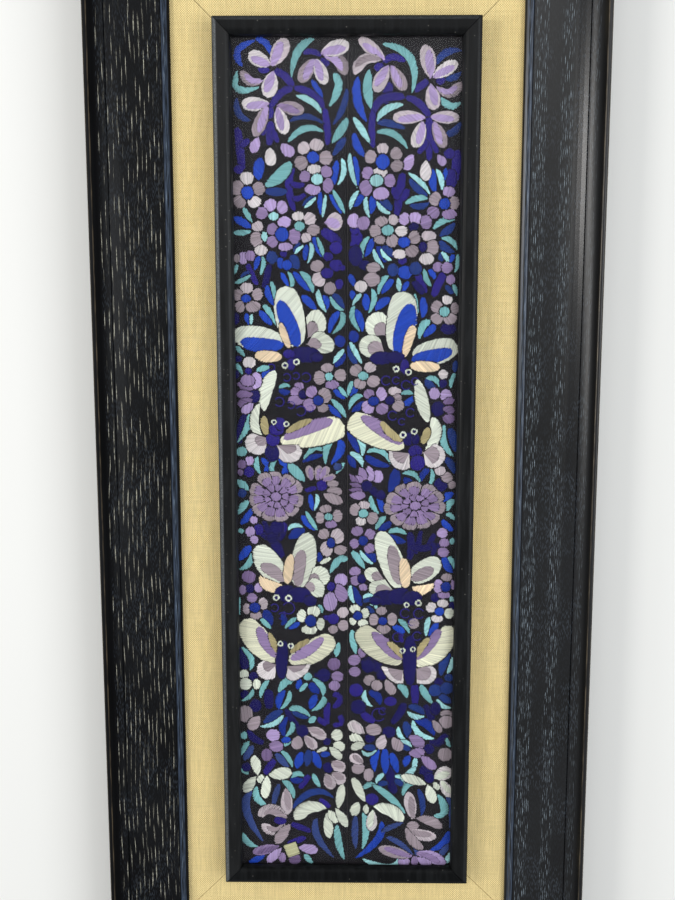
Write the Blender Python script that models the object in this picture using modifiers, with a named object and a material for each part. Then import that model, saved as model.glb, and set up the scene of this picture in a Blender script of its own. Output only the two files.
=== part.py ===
"""Framed silk embroidery panel, lying on its back with its face up.

Two embroidered silk bands, mirror images of each other, lie edge to edge behind glass.
A slim black frame holds them, a linen liner surrounds it, and a broad scooped oak frame holds the liner.

Metres. X runs across the panel, Y towards its top edge and Z out of its face.
The origin is the middle of the back, on the plane that the panel lies on.
"""

import math

import bmesh
import bpy

# Space between pieces that touch on the real panel
GAP = 0.0003

# Outer frame: overall size, face width of its moulding, and heights above the back
WIDTH = 0.324
HEIGHT = 0.731
MOULDING_FACE = 0.051
MOULDING_DEPTH = 0.038
OUTER_REBATE = 0.006
LINER_SEAT = 0.0163

# Outer moulding across its face, from the outer edge inwards, and the height of each break
RIM_WIDTH = 0.0032
RIM_DROP = 0.0018
COVE_END = 0.0115
COVE_FOOT = 0.0297
COVE_HOLLOW = 0.001
QUIRK_WIDTH = 0.0008
QUIRK_DEPTH = 0.0006
BEAD_START = 0.0453
BEAD_WIDTH = 0.0034
BEAD_RISE = 0.0017
SCOOP_FOOT = 0.0208
SCOOP_HOLLOW = 0.0016
LIP_TOP = 0.02
LIP_ROUND = 0.0008

# Inner frame: overall size, face width of its rails, and heights above the back
INNER_WIDTH = 0.167
INNER_HEIGHT = 0.574
INNER_FACE = 0.0117
INNER_TOP = 0.032
INNER_REBATE = 0.0057
INNER_SEAT = 0.0262
SHOULDER_WIDTH = 0.0032
SHOULDER_DROP = 0.003
NOSE_WIDTH = 0.0042
NOSE_TOP = 0.0288
NOSE_ROUND = 0.0006

# Linen liner, whose inner edge carries the mount board
LINER_THICKNESS = 0.0122
LINER_LEDGE = 0.0138
LINER_ROUND = 0.0008

# Flat layers
GLASS_THICKNESS = 0.002
SILK_THICKNESS = 0.0013
SILK_EDGE_ROUND = 0.0003
SEAM_X = 0.0007
BACKING_THICKNESS = 0.0029

# Steps in each round stretch
ROUND_STEPS = 6
HOLLOW_STEPS = 12

SIDES = ("top", "left", "bottom", "right")
COLLECTION_NAME = "framed_silk_embroidery_panel"


def clear_scene():
    """Removes whatever the scene holds."""
    for thing in list(bpy.data.objects):
        bpy.data.objects.remove(thing)


def plain_material(name, colour, roughness, metallic=0.0, transmission=0.0):
    """A Principled material of one colour."""
    material = bpy.data.materials.new(name)
    material.use_nodes = True
    shader = material.node_tree.nodes["Principled BSDF"]
    shader.inputs["Base Color"].default_value = (*colour, 1.0)
    shader.inputs["Roughness"].default_value = roughness
    shader.inputs["Metallic"].default_value = metallic
    shader.inputs["Transmission Weight"].default_value = transmission
    material.diffuse_color = (*colour, 1.0)
    return material


def bowed(start, end, rise, steps):
    """Points from start to end on a shallow curve that rises off the straight line, or sinks if negative."""
    run = end[0] - start[0]
    climb = end[1] - start[1]
    length = math.hypot(run, climb)
    points = []
    for step in range(steps + 1):
        part = step / steps
        off = 4 * rise * part * (1 - part) / length
        points.append((start[0] + run * part - climb * off, start[1] + climb * part + run * off))
    return points


def quarter_round(start, end, steps):
    """Points on a quarter of an ellipse that leaves start upwards or level and reaches end level or downwards."""
    rising = end[1] > start[1]
    points = []
    for step in range(steps + 1):
        turn = math.pi / 2 * step / steps
        across, up = (1 - math.cos(turn), math.sin(turn)) if rising else (math.sin(turn), 1 - math.cos(turn))
        points.append((start[0] + (end[0] - start[0]) * across, start[1] + (end[1] - start[1]) * up))
    return points


def outer_moulding():
    """Section of the outer frame: rim, steep cove, quirk, broad scoop, bead and lip over a rebate."""
    rim_foot = MOULDING_DEPTH - RIM_DROP
    rim_middle = RIM_WIDTH / 2
    quirk_end = COVE_END + QUIRK_WIDTH
    bead_end = BEAD_START + BEAD_WIDTH
    rebate_side = MOULDING_FACE - OUTER_REBATE
    outline = [(0.0, 0.0)]
    outline += quarter_round((0.0, rim_foot), (rim_middle, MOULDING_DEPTH), ROUND_STEPS)
    outline += quarter_round((rim_middle, MOULDING_DEPTH), (RIM_WIDTH, rim_foot + RIM_DROP / 2), ROUND_STEPS)[1:]
    outline += bowed((RIM_WIDTH, rim_foot + RIM_DROP / 2), (COVE_END, COVE_FOOT), -COVE_HOLLOW, HOLLOW_STEPS)[1:]
    outline += [(COVE_END + QUIRK_WIDTH / 2, COVE_FOOT - QUIRK_DEPTH)]
    outline += bowed((quirk_end, COVE_FOOT), (BEAD_START, SCOOP_FOOT), -SCOOP_HOLLOW, HOLLOW_STEPS)
    outline += bowed((BEAD_START, SCOOP_FOOT), (bead_end, SCOOP_FOOT), BEAD_RISE, ROUND_STEPS)[1:]
    outline += [(MOULDING_FACE - LIP_ROUND, LIP_TOP)]
    outline += [(MOULDING_FACE, LIP_TOP - LIP_ROUND)]
    outline += [(MOULDING_FACE, LINER_SEAT), (rebate_side, LINER_SEAT), (rebate_side, 0.0)]
    return outline


def inner_moulding():
    """Section of the inner frame: an upright side, round shoulder, flat top and round nose over a rebate."""
    base = LINER_SEAT
    rebate_side = INNER_FACE - INNER_REBATE
    nose_start = INNER_FACE - NOSE_WIDTH
    outline = [(0.0, base)]
    outline += quarter_round((0.0, INNER_TOP - SHOULDER_DROP), (SHOULDER_WIDTH, INNER_TOP), ROUND_STEPS)
    outline += quarter_round((nose_start, INNER_TOP), (INNER_FACE - NOSE_ROUND / 2, NOSE_TOP), ROUND_STEPS)
    outline += [(INNER_FACE, NOSE_TOP - NOSE_ROUND)]
    outline += [(INNER_FACE, INNER_SEAT), (rebate_side, INNER_SEAT), (rebate_side, base)]
    return outline


def liner_section(width):
    """Section of the linen-covered liner, with a round edge where the cloth turns over its inner side."""
    top = LINER_SEAT - GAP
    foot = top - LINER_THICKNESS
    outline = [(0.0, foot), (0.0, top)]
    outline += quarter_round((width - LINER_ROUND, top), (width, top - LINER_ROUND), ROUND_STEPS)
    outline += [(width, foot)]
    return outline


def solid_of_outline(name, outline, length):
    """A closed mesh of the outline, filled and carried half the length to each side of its plane."""
    curve = bpy.data.curves.new(name, "CURVE")
    curve.dimensions = "2D"
    curve.fill_mode = "BOTH"
    curve.extrude = length / 2
    spline = curve.splines.new("POLY")
    spline.points.add(len(outline) - 1)
    for point, (across, up) in zip(spline.points, outline):
        point.co = (across, up, 0.0, 1.0)
    spline.use_cyclic_u = True
    guide = bpy.data.objects.new(name, curve)
    bpy.context.scene.collection.objects.link(guide)
    bpy.context.view_layer.update()
    graph = bpy.context.evaluated_depsgraph_get()
    mesh = bpy.data.meshes.new_from_object(guide.evaluated_get(graph))
    bpy.data.objects.remove(guide)
    bpy.data.curves.remove(curve)
    return mesh


def close_mesh(mesh):
    """Welds the caps to the sides and turns every face outwards."""
    shape = bmesh.new()
    shape.from_mesh(mesh)
    bmesh.ops.remove_doubles(shape, verts=shape.verts, dist=1e-6)
    bmesh.ops.recalc_face_normals(shape, faces=shape.faces)
    shape.to_mesh(mesh)
    shape.free()


def mitred_rail(name, outline, length, material):
    """A rail along X with its outer edge on Y = 0, cut at 45 degrees at both ends."""
    mesh = solid_of_outline(name, outline, length)
    cut_back = GAP / math.sqrt(2)
    for vertex in mesh.vertices:
        inward, up, along = vertex.co
        end = length / 2 - inward - cut_back
        vertex.co = (math.copysign(end, along), -inward, up)
    close_mesh(mesh)
    mesh.shade_smooth()
    mesh.set_sharp_from_angle(angle=math.radians(25))
    mesh.materials.clear()
    mesh.materials.append(material)
    return bpy.data.objects.new(name, mesh)


def mitred_frame(name, outline, width, height, material, collection):
    """Four rails of one section round a rectangle, each a quarter turn from the last."""
    for quarter, side in enumerate(SIDES):
        length, reach = (width, height / 2) if quarter % 2 == 0 else (height, width / 2)
        turn = quarter * math.pi / 2
        rail = mitred_rail(f"{name}_{side}", outline, length, material)
        rail.rotation_euler.z = turn
        rail.location = (-reach * math.sin(turn), reach * math.cos(turn), 0.0)
        collection.objects.link(rail)


def flat_layer(name, left, right, height, bottom, top, material, collection):
    """A flat sheet between two X values, centred on Y = 0."""
    mesh = bpy.data.meshes.new(name)
    shape = bmesh.new()
    bmesh.ops.create_cube(shape, size=1.0)
    bmesh.ops.scale(shape, vec=(right - left, height, top - bottom), verts=shape.verts)
    shape.to_mesh(mesh)
    shape.free()
    mesh.materials.append(material)
    layer = bpy.data.objects.new(name, mesh)
    layer.location = ((left + right) / 2, 0.0, (bottom + top) / 2)
    collection.objects.link(layer)
    return layer


def round_edges(layer, radius):
    """Rounds the layer's edges, as where cloth is turned over."""
    bevel = layer.modifiers.new("turned edge", "BEVEL")
    bevel.width = radius
    bevel.segments = 2


def build_outer_frame(collection):
    """Black-stained oak rails with a brown, worn rim."""
    oak = plain_material("black_oak", (0.016, 0.018, 0.022), 0.45)
    mitred_frame("outer_rail", outer_moulding(), WIDTH, HEIGHT, oak, collection)


def build_liner(collection):
    """Linen-covered bars, held under the outer frame's lip."""
    linen = plain_material("straw_linen", (0.66, 0.52, 0.27), 0.85)
    width = WIDTH - 2 * (MOULDING_FACE - OUTER_REBATE + GAP)
    height = HEIGHT - 2 * (MOULDING_FACE - OUTER_REBATE + GAP)
    bar = (width - INNER_WIDTH) / 2 + LINER_LEDGE
    mitred_frame("liner_bar", liner_section(bar), width, height, linen, collection)


def build_inner_frame(collection):
    """Slim satin-black rails on top of the liner."""
    lacquer = plain_material("satin_black", (0.011, 0.012, 0.013), 0.38)
    mitred_frame("inner_rail", inner_moulding(), INNER_WIDTH, INNER_HEIGHT, lacquer, collection)


def build_layers(collection):
    """Glass, the two silk bands and the mount board inside the inner frame, and the backing board."""
    glass = plain_material("clear_glass", (0.9, 0.93, 0.92), 0.05, transmission=1.0)
    silk = plain_material("embroidered_silk", (0.05, 0.045, 0.11), 0.5)
    card = plain_material("mount_card", (0.72, 0.68, 0.58), 0.8)
    hardboard = plain_material("brown_hardboard", (0.2, 0.12, 0.06), 0.7)

    rail_to_rebate = INNER_FACE - INNER_REBATE + GAP
    reach = INNER_WIDTH / 2 - rail_to_rebate
    height = INNER_HEIGHT - 2 * rail_to_rebate
    glass_top = INNER_SEAT - GAP
    silk_top = glass_top - GLASS_THICKNESS - GAP
    mount_top = silk_top - SILK_THICKNESS - GAP

    flat_layer("glass_pane", -reach, reach, height, glass_top - GLASS_THICKNESS, glass_top, glass, collection)
    bands = (("left", -reach, SEAM_X - GAP / 2), ("right", SEAM_X + GAP / 2, reach))
    for side, left, right in bands:
        band = flat_layer(
            f"silk_band_{side}", left, right, height, silk_top - SILK_THICKNESS, silk_top, silk, collection
        )
        round_edges(band, SILK_EDGE_ROUND)
    flat_layer("mount_board", -reach, reach, height, LINER_SEAT, mount_top, card, collection)

    board_reach = WIDTH / 2 - (MOULDING_FACE - OUTER_REBATE + GAP)
    board_height = HEIGHT - 2 * (MOULDING_FACE - OUTER_REBATE + GAP)
    board_top = LINER_SEAT - GAP - LINER_THICKNESS - GAP
    board_foot = board_top - BACKING_THICKNESS
    flat_layer(
        "backing_board", -board_reach, board_reach, board_height, board_foot, board_top, hardboard, collection
    )


def main():
    clear_scene()
    collection = bpy.data.collections.new(COLLECTION_NAME)
    bpy.context.scene.collection.children.link(collection)
    build_outer_frame(collection)
    build_liner(collection)
    build_inner_frame(collection)
    build_layers(collection)


main()
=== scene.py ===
"""Dresses the framed silk embroidery panel: black oak moulding, linen liner, glass and two stitched bands."""

import math

import bpy
import numpy as np
from mathutils import Matrix, Vector


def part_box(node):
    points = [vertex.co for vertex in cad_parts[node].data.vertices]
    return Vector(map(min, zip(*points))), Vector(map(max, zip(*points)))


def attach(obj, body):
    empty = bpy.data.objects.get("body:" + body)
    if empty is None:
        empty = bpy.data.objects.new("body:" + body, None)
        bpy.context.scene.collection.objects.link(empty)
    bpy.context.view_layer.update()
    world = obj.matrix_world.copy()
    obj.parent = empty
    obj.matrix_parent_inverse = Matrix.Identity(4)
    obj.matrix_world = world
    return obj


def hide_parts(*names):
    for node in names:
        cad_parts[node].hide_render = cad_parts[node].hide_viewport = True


bl_info = {
    "name": "Framed silk embroidery panel",
    "version": (1, 0, 0),
    "blender": (4, 5, 0),
    "location": "3D View > Sidebar > Silk panel",
    "description": "Stitches and finishes a framed pair of embroidered silk bands",
    "category": "Object",
}

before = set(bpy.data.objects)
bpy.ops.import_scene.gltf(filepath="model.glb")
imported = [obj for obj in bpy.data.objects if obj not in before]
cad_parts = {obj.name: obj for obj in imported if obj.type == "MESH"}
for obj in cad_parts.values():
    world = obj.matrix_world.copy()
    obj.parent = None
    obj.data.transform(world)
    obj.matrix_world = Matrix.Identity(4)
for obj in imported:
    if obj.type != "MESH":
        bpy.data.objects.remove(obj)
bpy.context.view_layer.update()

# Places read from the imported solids, in metres
OUTER_HALF_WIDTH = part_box("outer_rail_right")[1].x
OUTER_HALF_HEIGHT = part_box("outer_rail_top")[1].y
SIGHT_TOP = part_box("inner_rail_top")[0].y
BAND_LOW, BAND_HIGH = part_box("silk_band_right")
SEAM_X = (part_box("silk_band_left")[1].x + BAND_LOW.x) / 2
BAND_HEIGHT = BAND_HIGH.y - BAND_LOW.y
MM = 0.001

# Silk shades in sRGB, and what each is used for
SHADES = {
    "indigo": ((38, 26, 120), "Coral stems and small hearts"),
    "navy": ((16, 10, 84), "Butterfly bodies and dark stems"),
    "royal": ((26, 66, 176), "Bright leaves and hearts"),
    "deep": ((14, 42, 132), "Dark leaves and hearts"),
    "dkblue": ((26, 52, 120), "Dull blue leaves"),
    "steel": ((50, 68, 126), "Grey blue leaves"),
    "aqua": ((120, 176, 180), "Green blue leaves"),
    "paqua": ((158, 208, 212), "Palest green blue leaves"),
    "lilac": ((172, 150, 196), "Light petals"),
    "mauve": ((142, 120, 162), "Middle petals"),
    "purple": ((120, 98, 140), "Dark petals"),
    "grey": ((154, 140, 148), "Grey mauve petals"),
    "pale": ((190, 177, 184), "Palest lilac petals"),
    "cream": ((210, 202, 204), "Petal tips"),
    "white": ((212, 216, 202), "Butterfly wings"),
    "ivory": ((220, 218, 194), "Warm butterfly wings"),
    "peach": ((228, 204, 172), "Under wings"),
    "tan": ((168, 155, 114), "Under wings"),
    "olive": ((188, 186, 148), "The darned patch"),
}

# Leaves and stems by shade: start u, start v, middle u, middle v, end u, end v, greatest width, in mm.
# u runs outwards from the seam and v down from the top of the sight opening.
LEFT_BLADES = {
    "indigo": (
        (46, 19.5, 39, 23.5, 34.5, 30, 4.5), (34.5, 31, 42, 33.5, 49, 42.5, 4.2),
        (34, 30.5, 22, 34, 15, 42.5, 4.2), (15, 42.5, 13, 54, 12.7, 65.5, 4),
        (28, 9.5, 22, 8.5, 17, 11.5, 3.2), (49, 42, 49, 45.5, 49, 49, 4),
        (48.5, 50.5, 49, 58, 49.5, 65.5, 4.8), (47, 56, 45.5, 60, 44, 63.5, 3),
        (51, 55, 53, 57, 54.5, 59, 3), (69.5, 54, 68, 68, 67, 81, 5), (67.5, 66, 65, 64, 62, 61.5, 3.5),
        (34.5, 78.5, 37.5, 90, 34, 106, 4.5), (36.5, 88, 32, 90, 27.5, 89, 3.2),
        (35.5, 98, 31, 98, 27, 95, 3.2), (17, 118, 9, 123, 6, 128, 6),
        (64.5, 139, 61.5, 146, 58, 152.5, 3.6), (20.5, 285, 24, 286, 28, 287.5, 3),
        (9.5, 375, 12.5, 374.5, 16, 373, 3), (10, 427.5, 5, 432, 10, 438, 4.5),
        (13, 434, 14, 442, 13.5, 450, 4), (20, 445, 17, 448, 14, 450, 3.5),
        (5.5, 443, 4, 448, 10, 450.5, 4), (49.5, 475.5, 53.5, 480.5, 57, 486, 4.5),
        (26, 486.5, 29.5, 491.5, 32.5, 496.5, 4), (19, 504, 15.5, 507, 12, 510, 3.5),
        (39, 522.5, 32, 525, 25, 528, 4), (29, 532, 35, 535, 41.5, 537, 4),
    ),
    "navy": (
        (50.2, 138.5, 52, 148, 54, 154.5, 4), (66.5, 236, 70, 246, 71.5, 256, 5),
        (61.5, 312, 56, 317, 50, 322, 3.4), (55.5, 307.5, 53.5, 313, 50, 321, 3.2),
        (48.8, 309, 48, 315, 47, 321, 3.4), (41.5, 309.5, 42.5, 315, 45, 321, 3.4),
        (50, 321.5, 46.5, 326, 43.5, 333, 6), (72, 395, 70.5, 403, 68.5, 411, 6),
        (22.5, 414, 20, 414.5, 17, 414.5, 3), (67.5, 426.5, 70, 428.5, 72.5, 430, 4.5),
        (53, 425, 53.5, 432, 53, 439, 6), (42, 438.5, 36, 449, 31, 453, 4),
        (68.5, 454, 64, 460, 57, 463.5, 4.5),
    ),
    "royal": (
        (66, 17.5, 68.5, 8, 57, 1.5, 4.8), (58, 1, 51, 3.5, 47.8, 11.5, 4),
        (22.7, 25.5, 19, 31, 15.5, 36.2, 3.3), (55.2, 72.5, 56.5, 80, 56.2, 87, 7),
        (6.7, 74.5, 8.2, 82, 8.5, 90, 4.4), (17.5, 93.5, 17.6, 101, 17.2, 108.3, 3.2),
        (11.5, 95.5, 7.5, 101, 4, 107.5, 4), (72.5, 109.5, 67, 113, 61, 116.5, 5),
        (22, 122, 19.5, 128, 17, 134.7, 3.8), (26.5, 127, 27, 132, 27.5, 137, 3.6),
        (56.2, 134.2, 58.5, 138.5, 59.5, 143, 3.5), (42.7, 144.5, 40.5, 149, 38, 153, 3.2),
        (35, 144, 29, 151, 23.5, 156.5, 4.5), (51.5, 152.5, 51, 159, 46.7, 166.5, 4),
        (29.5, 159, 25, 163.5, 20.2, 168, 5), (16, 159, 13.5, 163, 14, 168.5, 3.5),
        (57, 169, 53, 173.5, 49, 178.2, 4.8), (65.7, 170.5, 65, 174, 64, 178, 3.3),
        (5, 169.3, 9.5, 175, 12, 183.8, 4.5), (50.8, 207.5, 53.5, 209.5, 56, 212, 4.5),
        (9, 219.5, 5.5, 223, 1.5, 226.3, 3.8), (12.7, 230, 8.5, 234.5, 4, 238.3, 3.8),
        (57, 265, 53, 271, 55.5, 275, 4), (45.2, 266, 40.5, 272, 44, 275.7, 5.5),
        (6, 252.7, 4.5, 260, 11, 269.5, 5.5), (24.5, 289.5, 24, 295, 23, 300.7, 3.5),
        (63.3, 299, 67.5, 306.5, 71.5, 309.5, 4.5), (30.5, 304, 26, 309, 21, 314, 5),
        (64.5, 324.5, 68.5, 329.5, 72, 335, 5.5), (32, 377.5, 36, 380, 39.5, 381.5, 3.6),
        (31.5, 417.5, 33, 421, 33.5, 425, 4), (42, 425.7, 46.5, 432, 46.5, 439.3, 5),
        (21, 428.5, 23.5, 433.5, 25.2, 439, 5.5), (31.5, 469.5, 33, 476, 34.5, 482, 6),
        (23.5, 469, 21, 475.5, 18.7, 482, 5.8), (57.5, 545.5, 63, 549, 69, 551, 4.5),
    ),
    "deep": (
        (44.7, 219.8, 41, 221.8, 37.2, 221.5, 4), (1.7, 196, 5, 200.5, 8, 205.5, 5.5),
        (16.2, 263, 24, 265, 30, 268, 3.8), (28.5, 312.7, 34, 316, 39, 320, 6.5),
        (18, 329, 18.8, 332, 19.2, 335.5, 4.5), (56, 369, 53.5, 374.5, 51, 380, 7),
        (44.5, 372, 42.5, 375.5, 44.5, 379.5, 4.5), (25.5, 420, 22.5, 424, 19.5, 428, 6),
        (40.7, 444.5, 44.5, 452, 42.5, 459, 4.8), (39.5, 489.2, 35, 490.5, 30, 489.5, 4.5),
    ),
    "dkblue": (
        (69.7, 36, 68.5, 46, 61, 50, 4.5), (37, 51, 27, 47.5, 15, 52, 3.6), (0.7, 30.5, 3, 42, 9.5, 53, 4),
        (1, 60.5, 5.5, 66, 9.5, 72, 4.5), (38.5, 93.5, 46, 94, 53.5, 93.5, 5.5),
        (20.7, 96.3, 25, 99, 29, 103, 3), (30, 126, 32.5, 129, 34.5, 132, 3.5),
        (36.7, 133.5, 34, 138, 31.5, 142.5, 6.5), (63, 144, 66, 146, 69, 148, 3.5),
        (9.5, 158, 6, 163, 2.5, 168, 5.5), (44, 440, 51, 444, 57.5, 449, 5.5),
        (38, 440.5, 32, 443, 26, 445, 4.5), (26.5, 468, 27, 474, 27.5, 480.5, 5.5),
        (39, 512, 24, 499, 9.5, 503, 5),
    ),
    "steel": (
        (64.7, 465, 68, 471, 71, 476.5, 5), (49, 470.5, 45, 476, 40, 480.7, 5),
        (65, 498.5, 70, 512, 58, 536.5, 6), (46.7, 492.5, 49.5, 501.5, 51, 510, 4.2),
        (21, 518, 21, 531, 9, 547.5, 5),
    ),
    "aqua": (
        (69, 20, 68.5, 31, 55, 29.5, 4.5), (21, 1, 31, 8, 35.2, 24, 5), (9, 21.5, 6, 30, 12, 42, 5.5),
        (37.8, 63.5, 27, 55, 15, 57.5, 4.2), (0, 48.5, 4.5, 56.5, 10, 64, 5.5),
        (35.5, 75.5, 43, 84, 53, 90.5, 8), (9.5, 92.8, 5.5, 100, 1.7, 107.8, 3.2),
        (66.5, 103.5, 64, 108, 61, 113, 3.3), (73, 119, 67, 119.5, 61.5, 118.5, 3.6),
        (19.7, 122, 17, 129, 15, 136, 2.8), (70.5, 139.5, 72, 142.5, 72.7, 145.7, 2.7),
        (54.7, 134.2, 54, 140, 56.5, 146.5, 2.8), (62, 146, 68, 149.5, 72.7, 151.5, 2.7),
        (38.5, 144, 35.5, 150, 37.2, 154.5, 3), (31, 144, 25, 149.5, 22.2, 157.8, 4.2),
        (49.5, 150, 47.5, 156, 46.7, 163, 3), (11.5, 159.5, 7.5, 166, 2.5, 168.5, 3),
        (55, 165.5, 51, 169, 46.5, 178.2, 3.6), (4.8, 169.3, 3.2, 176, 10, 183.8, 3.8),
        (72.5, 191.7, 69.5, 195, 66.5, 198.3, 3.2), (72.3, 202.7, 70.5, 206.5, 68, 210, 3),
        (50.7, 205.8, 55, 206, 59.5, 208.3, 4), (44.7, 219.3, 41, 217, 37.2, 218.5, 2.7),
        (6, 217.8, 3, 221.5, 0, 225, 2.8), (10.7, 226.3, 5, 232, 1.2, 238.3, 3.8),
        (64.7, 235.8, 65.5, 244, 72.3, 255, 4), (59, 264.2, 60, 270, 56.7, 276.7, 3.4),
        (46.2, 265.2, 50, 271, 48, 275.5, 3.2), (39, 268.7, 33.5, 275, 28.2, 281, 6.5),
        (16.5, 260.5, 22, 259, 29.5, 266.5, 3.7), (6.2, 251.7, 13, 256, 14.5, 269.5, 5),
        (2, 268, 5, 272, 7.5, 275.7, 2.7), (72.5, 280, 69, 283.5, 65.7, 287, 5),
        (65, 294.3, 69.5, 298, 72.5, 303.5, 4.5), (27.7, 301, 24, 307.5, 20, 314, 3.2),
        (-0.7, 334, 5.5, 334.5, 11.5, 343.2, 5.5), (63.5, 329, 66, 337, 72.5, 341, 4),
        (72, 359, 72.7, 366, 72.5, 373, 1.5), (58.5, 374.5, 55, 378.5, 51.3, 382, 3.4),
        (34.2, 374.3, 38, 377, 42, 382, 3.3), (19, 364.7, 18, 368, 16.7, 371, 3.6),
        (71.7, 395, 65, 403, 66.2, 411.5, 4), (5.7, 391.3, 7, 396.5, 7.5, 401.5, 4.5),
        (53.2, 418, 57.5, 424, 59, 431, 3.6), (36, 418.2, 42, 420, 46.7, 427, 5.5),
        (27, 420, 30, 423.5, 33, 426.5, 3), (24, 417, 17, 423, 16.5, 429.5, 4.2),
        (64.2, 424.5, 66.5, 430, 72.5, 433.3, 3), (39.5, 425.5, 40, 432, 46, 439.5, 3.5),
        (16.5, 429.5, 17, 435, 24.5, 440.2, 4.3), (39.7, 439.2, 33, 438.5, 25.2, 444.3, 4.5),
        (21.2, 444.5, 24, 446.5, 26.5, 448.5, 4), (38.5, 448, 37.5, 453, 42.7, 459, 3.6),
        (67, 462.5, 70.5, 466.5, 73, 472.5, 3.6), (38.2, 460.7, 41, 463, 43.5, 465.7, 3.3),
        (45.5, 469, 40.5, 474, 37.7, 481.2, 3.5), (73.2, 482, 70.5, 484, 68, 486, 3.5),
        (39.5, 488.5, 34.5, 485.5, 29.7, 487.5, 3.8), (23.5, 485.5, 21.5, 490.5, 18.5, 495.5, 3.7),
        (45.2, 490, 39.5, 495, 36.7, 504, 4.5), (62.2, 495, 62, 504, 54, 510, 5),
        (7, 522.5, 6, 536, 2, 549, 5), (72.5, 529, 69.5, 536, 62, 539.5, 4.5),
        (30, 545, 27, 548.5, 24, 551.5, 4),
    ),
    "paqua": (
        (32.7, 35, 23, 38.5, 16.2, 46.2, 3.8), (4, 73.2, 2.5, 82, 6.5, 90, 3.5),
        (20, 97.5, 24, 101, 28, 104, 2.6), (14, 95.5, 15, 103, 16.2, 110.2, 2.4),
        (24.2, 125.5, 22.8, 131, 25.7, 138.5, 3), (28.2, 127.5, 31.5, 130, 34.2, 133.2, 2.3),
        (19, 155.5, 18, 162.5, 13.5, 170, 3.8), (62, 170.8, 62.3, 174.5, 62.2, 178.2, 2.3),
        (2.2, 193.7, 6, 198, 9.5, 202.7, 3.3), (20.7, 289.3, 19.8, 294, 22.2, 300.7, 2.8),
        (39.5, 313.7, 35, 310.5, 29.5, 312, 3), (43.7, 443, 50, 449.5, 60, 451.5, 3.6),
    ),
    "white": (
        (46.5, 207.5, 53.5, 221, 54.5, 234.5, 9), (57.7, 229.3, 61, 243, 54.3, 255, 6),
        (11.2, 332.7, 15, 335, 18.5, 337, 3), (13.5, 466.5, 17, 468, 21, 469.5, 3),
    ),
}

# Single petals: shade of the plus side and of the other, base u, base v, tip u, tip v, width, bend of the
# middle towards the plus side. The plus side is below a petal that points outwards.
LEFT_PETALS = (
    ("lilac", "cream", 48.5, 16.8, 62, 9.5, 8.5, 0), ("lilac", "pale", 47.5, 17.3, 38, 0.5, 9.5, 0),
    ("grey", "lilac", 53.5, 26, 66.5, 19.5, 6, 3.4), ("cream", "lilac", 46.7, 20.5, 50.5, 36.2, 9.3, 0),
    ("lilac", "grey", 21.5, 13, 30, 27, 8, 0), ("cream", "lilac", 20, 13, 14, 28.3, 7.5, 0),
    ("grey", "lilac", 15.5, 10.5, 1.5, 23, 8, 3.6), ("cream", "lilac", 16.5, 9.3, -1, 4, 9, 0),
    ("lilac", "cream", 49.5, 40, 66.7, 40, 8, 0), ("grey", "mauve", 44, 40.5, 27.5, 44.5, 7.5, 0),
    ("lilac", "grey", 50.5, 41, 59, 60, 7.5, 0), ("cream", "lilac", 44.5, 42, 39, 58.5, 8, 0),
    ("lilac", "lilac", 56.5, 60, 60.3, 70, 6, 0), ("cream", "cream", 49, 66.5, 48.7, 78.2, 7, 0),
    ("lilac", "lilac", 42, 64.2, 34.5, 72, 7, 0), ("pale", "lilac", 14, 112.5, 3.3, 112.5, 10.5, 0),
    ("purple", "purple", 61, 220, 72, 216, 5, 0), ("purple", "purple", 61.5, 223, 72.5, 223.5, 5.5, 0),
    ("purple", "purple", 62, 226.5, 72, 230, 5.5, 0), ("lilac", "lilac", 61.5, 228.8, 69, 235.5, 5.5, 0),
    ("grey", "mauve", 23.5, 280, 26, 270.5, 5, 0), ("grey", "mauve", 19.7, 280.5, 18.7, 270, 5, 0),
    ("mauve", "grey", 18, 279, 12.5, 271, 5, 0), ("grey", "mauve", 16.5, 280, 8, 277, 4, 0),
    ("grey", "grey", 16, 289.3, 3, 295.5, 6.5, 0), ("mauve", "mauve", 7, 350.5, 1.5, 363, 8, 0),
    ("grey", "grey", 59.5, 444, 67.5, 453.5, 7.5, 0), ("grey", "pale", 26.7, 452, 14.5, 459.5, 7, 0),
    ("grey", "grey", 34, 457.7, 34.5, 468.2, 7.5, 0), ("pale", "grey", 29, 458.5, 21, 467.3, 6.5, 0),
    ("white", "white", 12.5, 466, 3.5, 474.5, 5.5, 0), ("grey", "pale", 10.5, 476.5, 2, 483, 8, 0),
    ("grey", "pale", 10, 484.5, 2, 492, 8, 0), ("pale", "grey", 14.5, 485.5, 10, 496.5, 7.5, 0),
    ("white", "white", 61.5, 487, 64, 472.3, 6.5, 0), ("white", "white", 54.2, 486.5, 37.7, 484.8, 8.5, 0),
    ("white", "white", 62.7, 487.8, 71.7, 499.2, 7, 0), ("white", "white", 59, 486, 60, 492.8, 5, 0),
    ("white", "white", 55.2, 487, 56.7, 504, 6.5, 0), ("grey", "pale", 42, 496.5, 41.7, 515.7, 7.5, 0),
    ("grey", "pale", 42.2, 518, 61.7, 517, 8.5, -5), ("pale", "grey", 43.2, 523, 59.2, 522.5, 7, 4.6),
    ("grey", "grey", 39.5, 522.5, 50, 537, 7.5, 0), ("white", "white", 14.5, 511, 36.7, 519.5, 10.5, -4.5),
    ("white", "white", 6.5, 511, 3, 493, 6, 0), ("white", "white", 14, 514, 12.2, 533, 6.5, 0),
    ("white", "white", 13, 512, 7, 521.5, 5.5, 0), ("white", "white", 8, 511, -0.7, 524.5, 6, 0),
    ("purple", "mauve", 47.5, 539.5, 66, 544, 6.5, 0), ("lilac", "lilac", 46, 540.5, 55.5, 551.5, 6, 0),
    ("lilac", "lilac", 34, 540, 20.2, 542, 7, 0),
)

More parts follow.
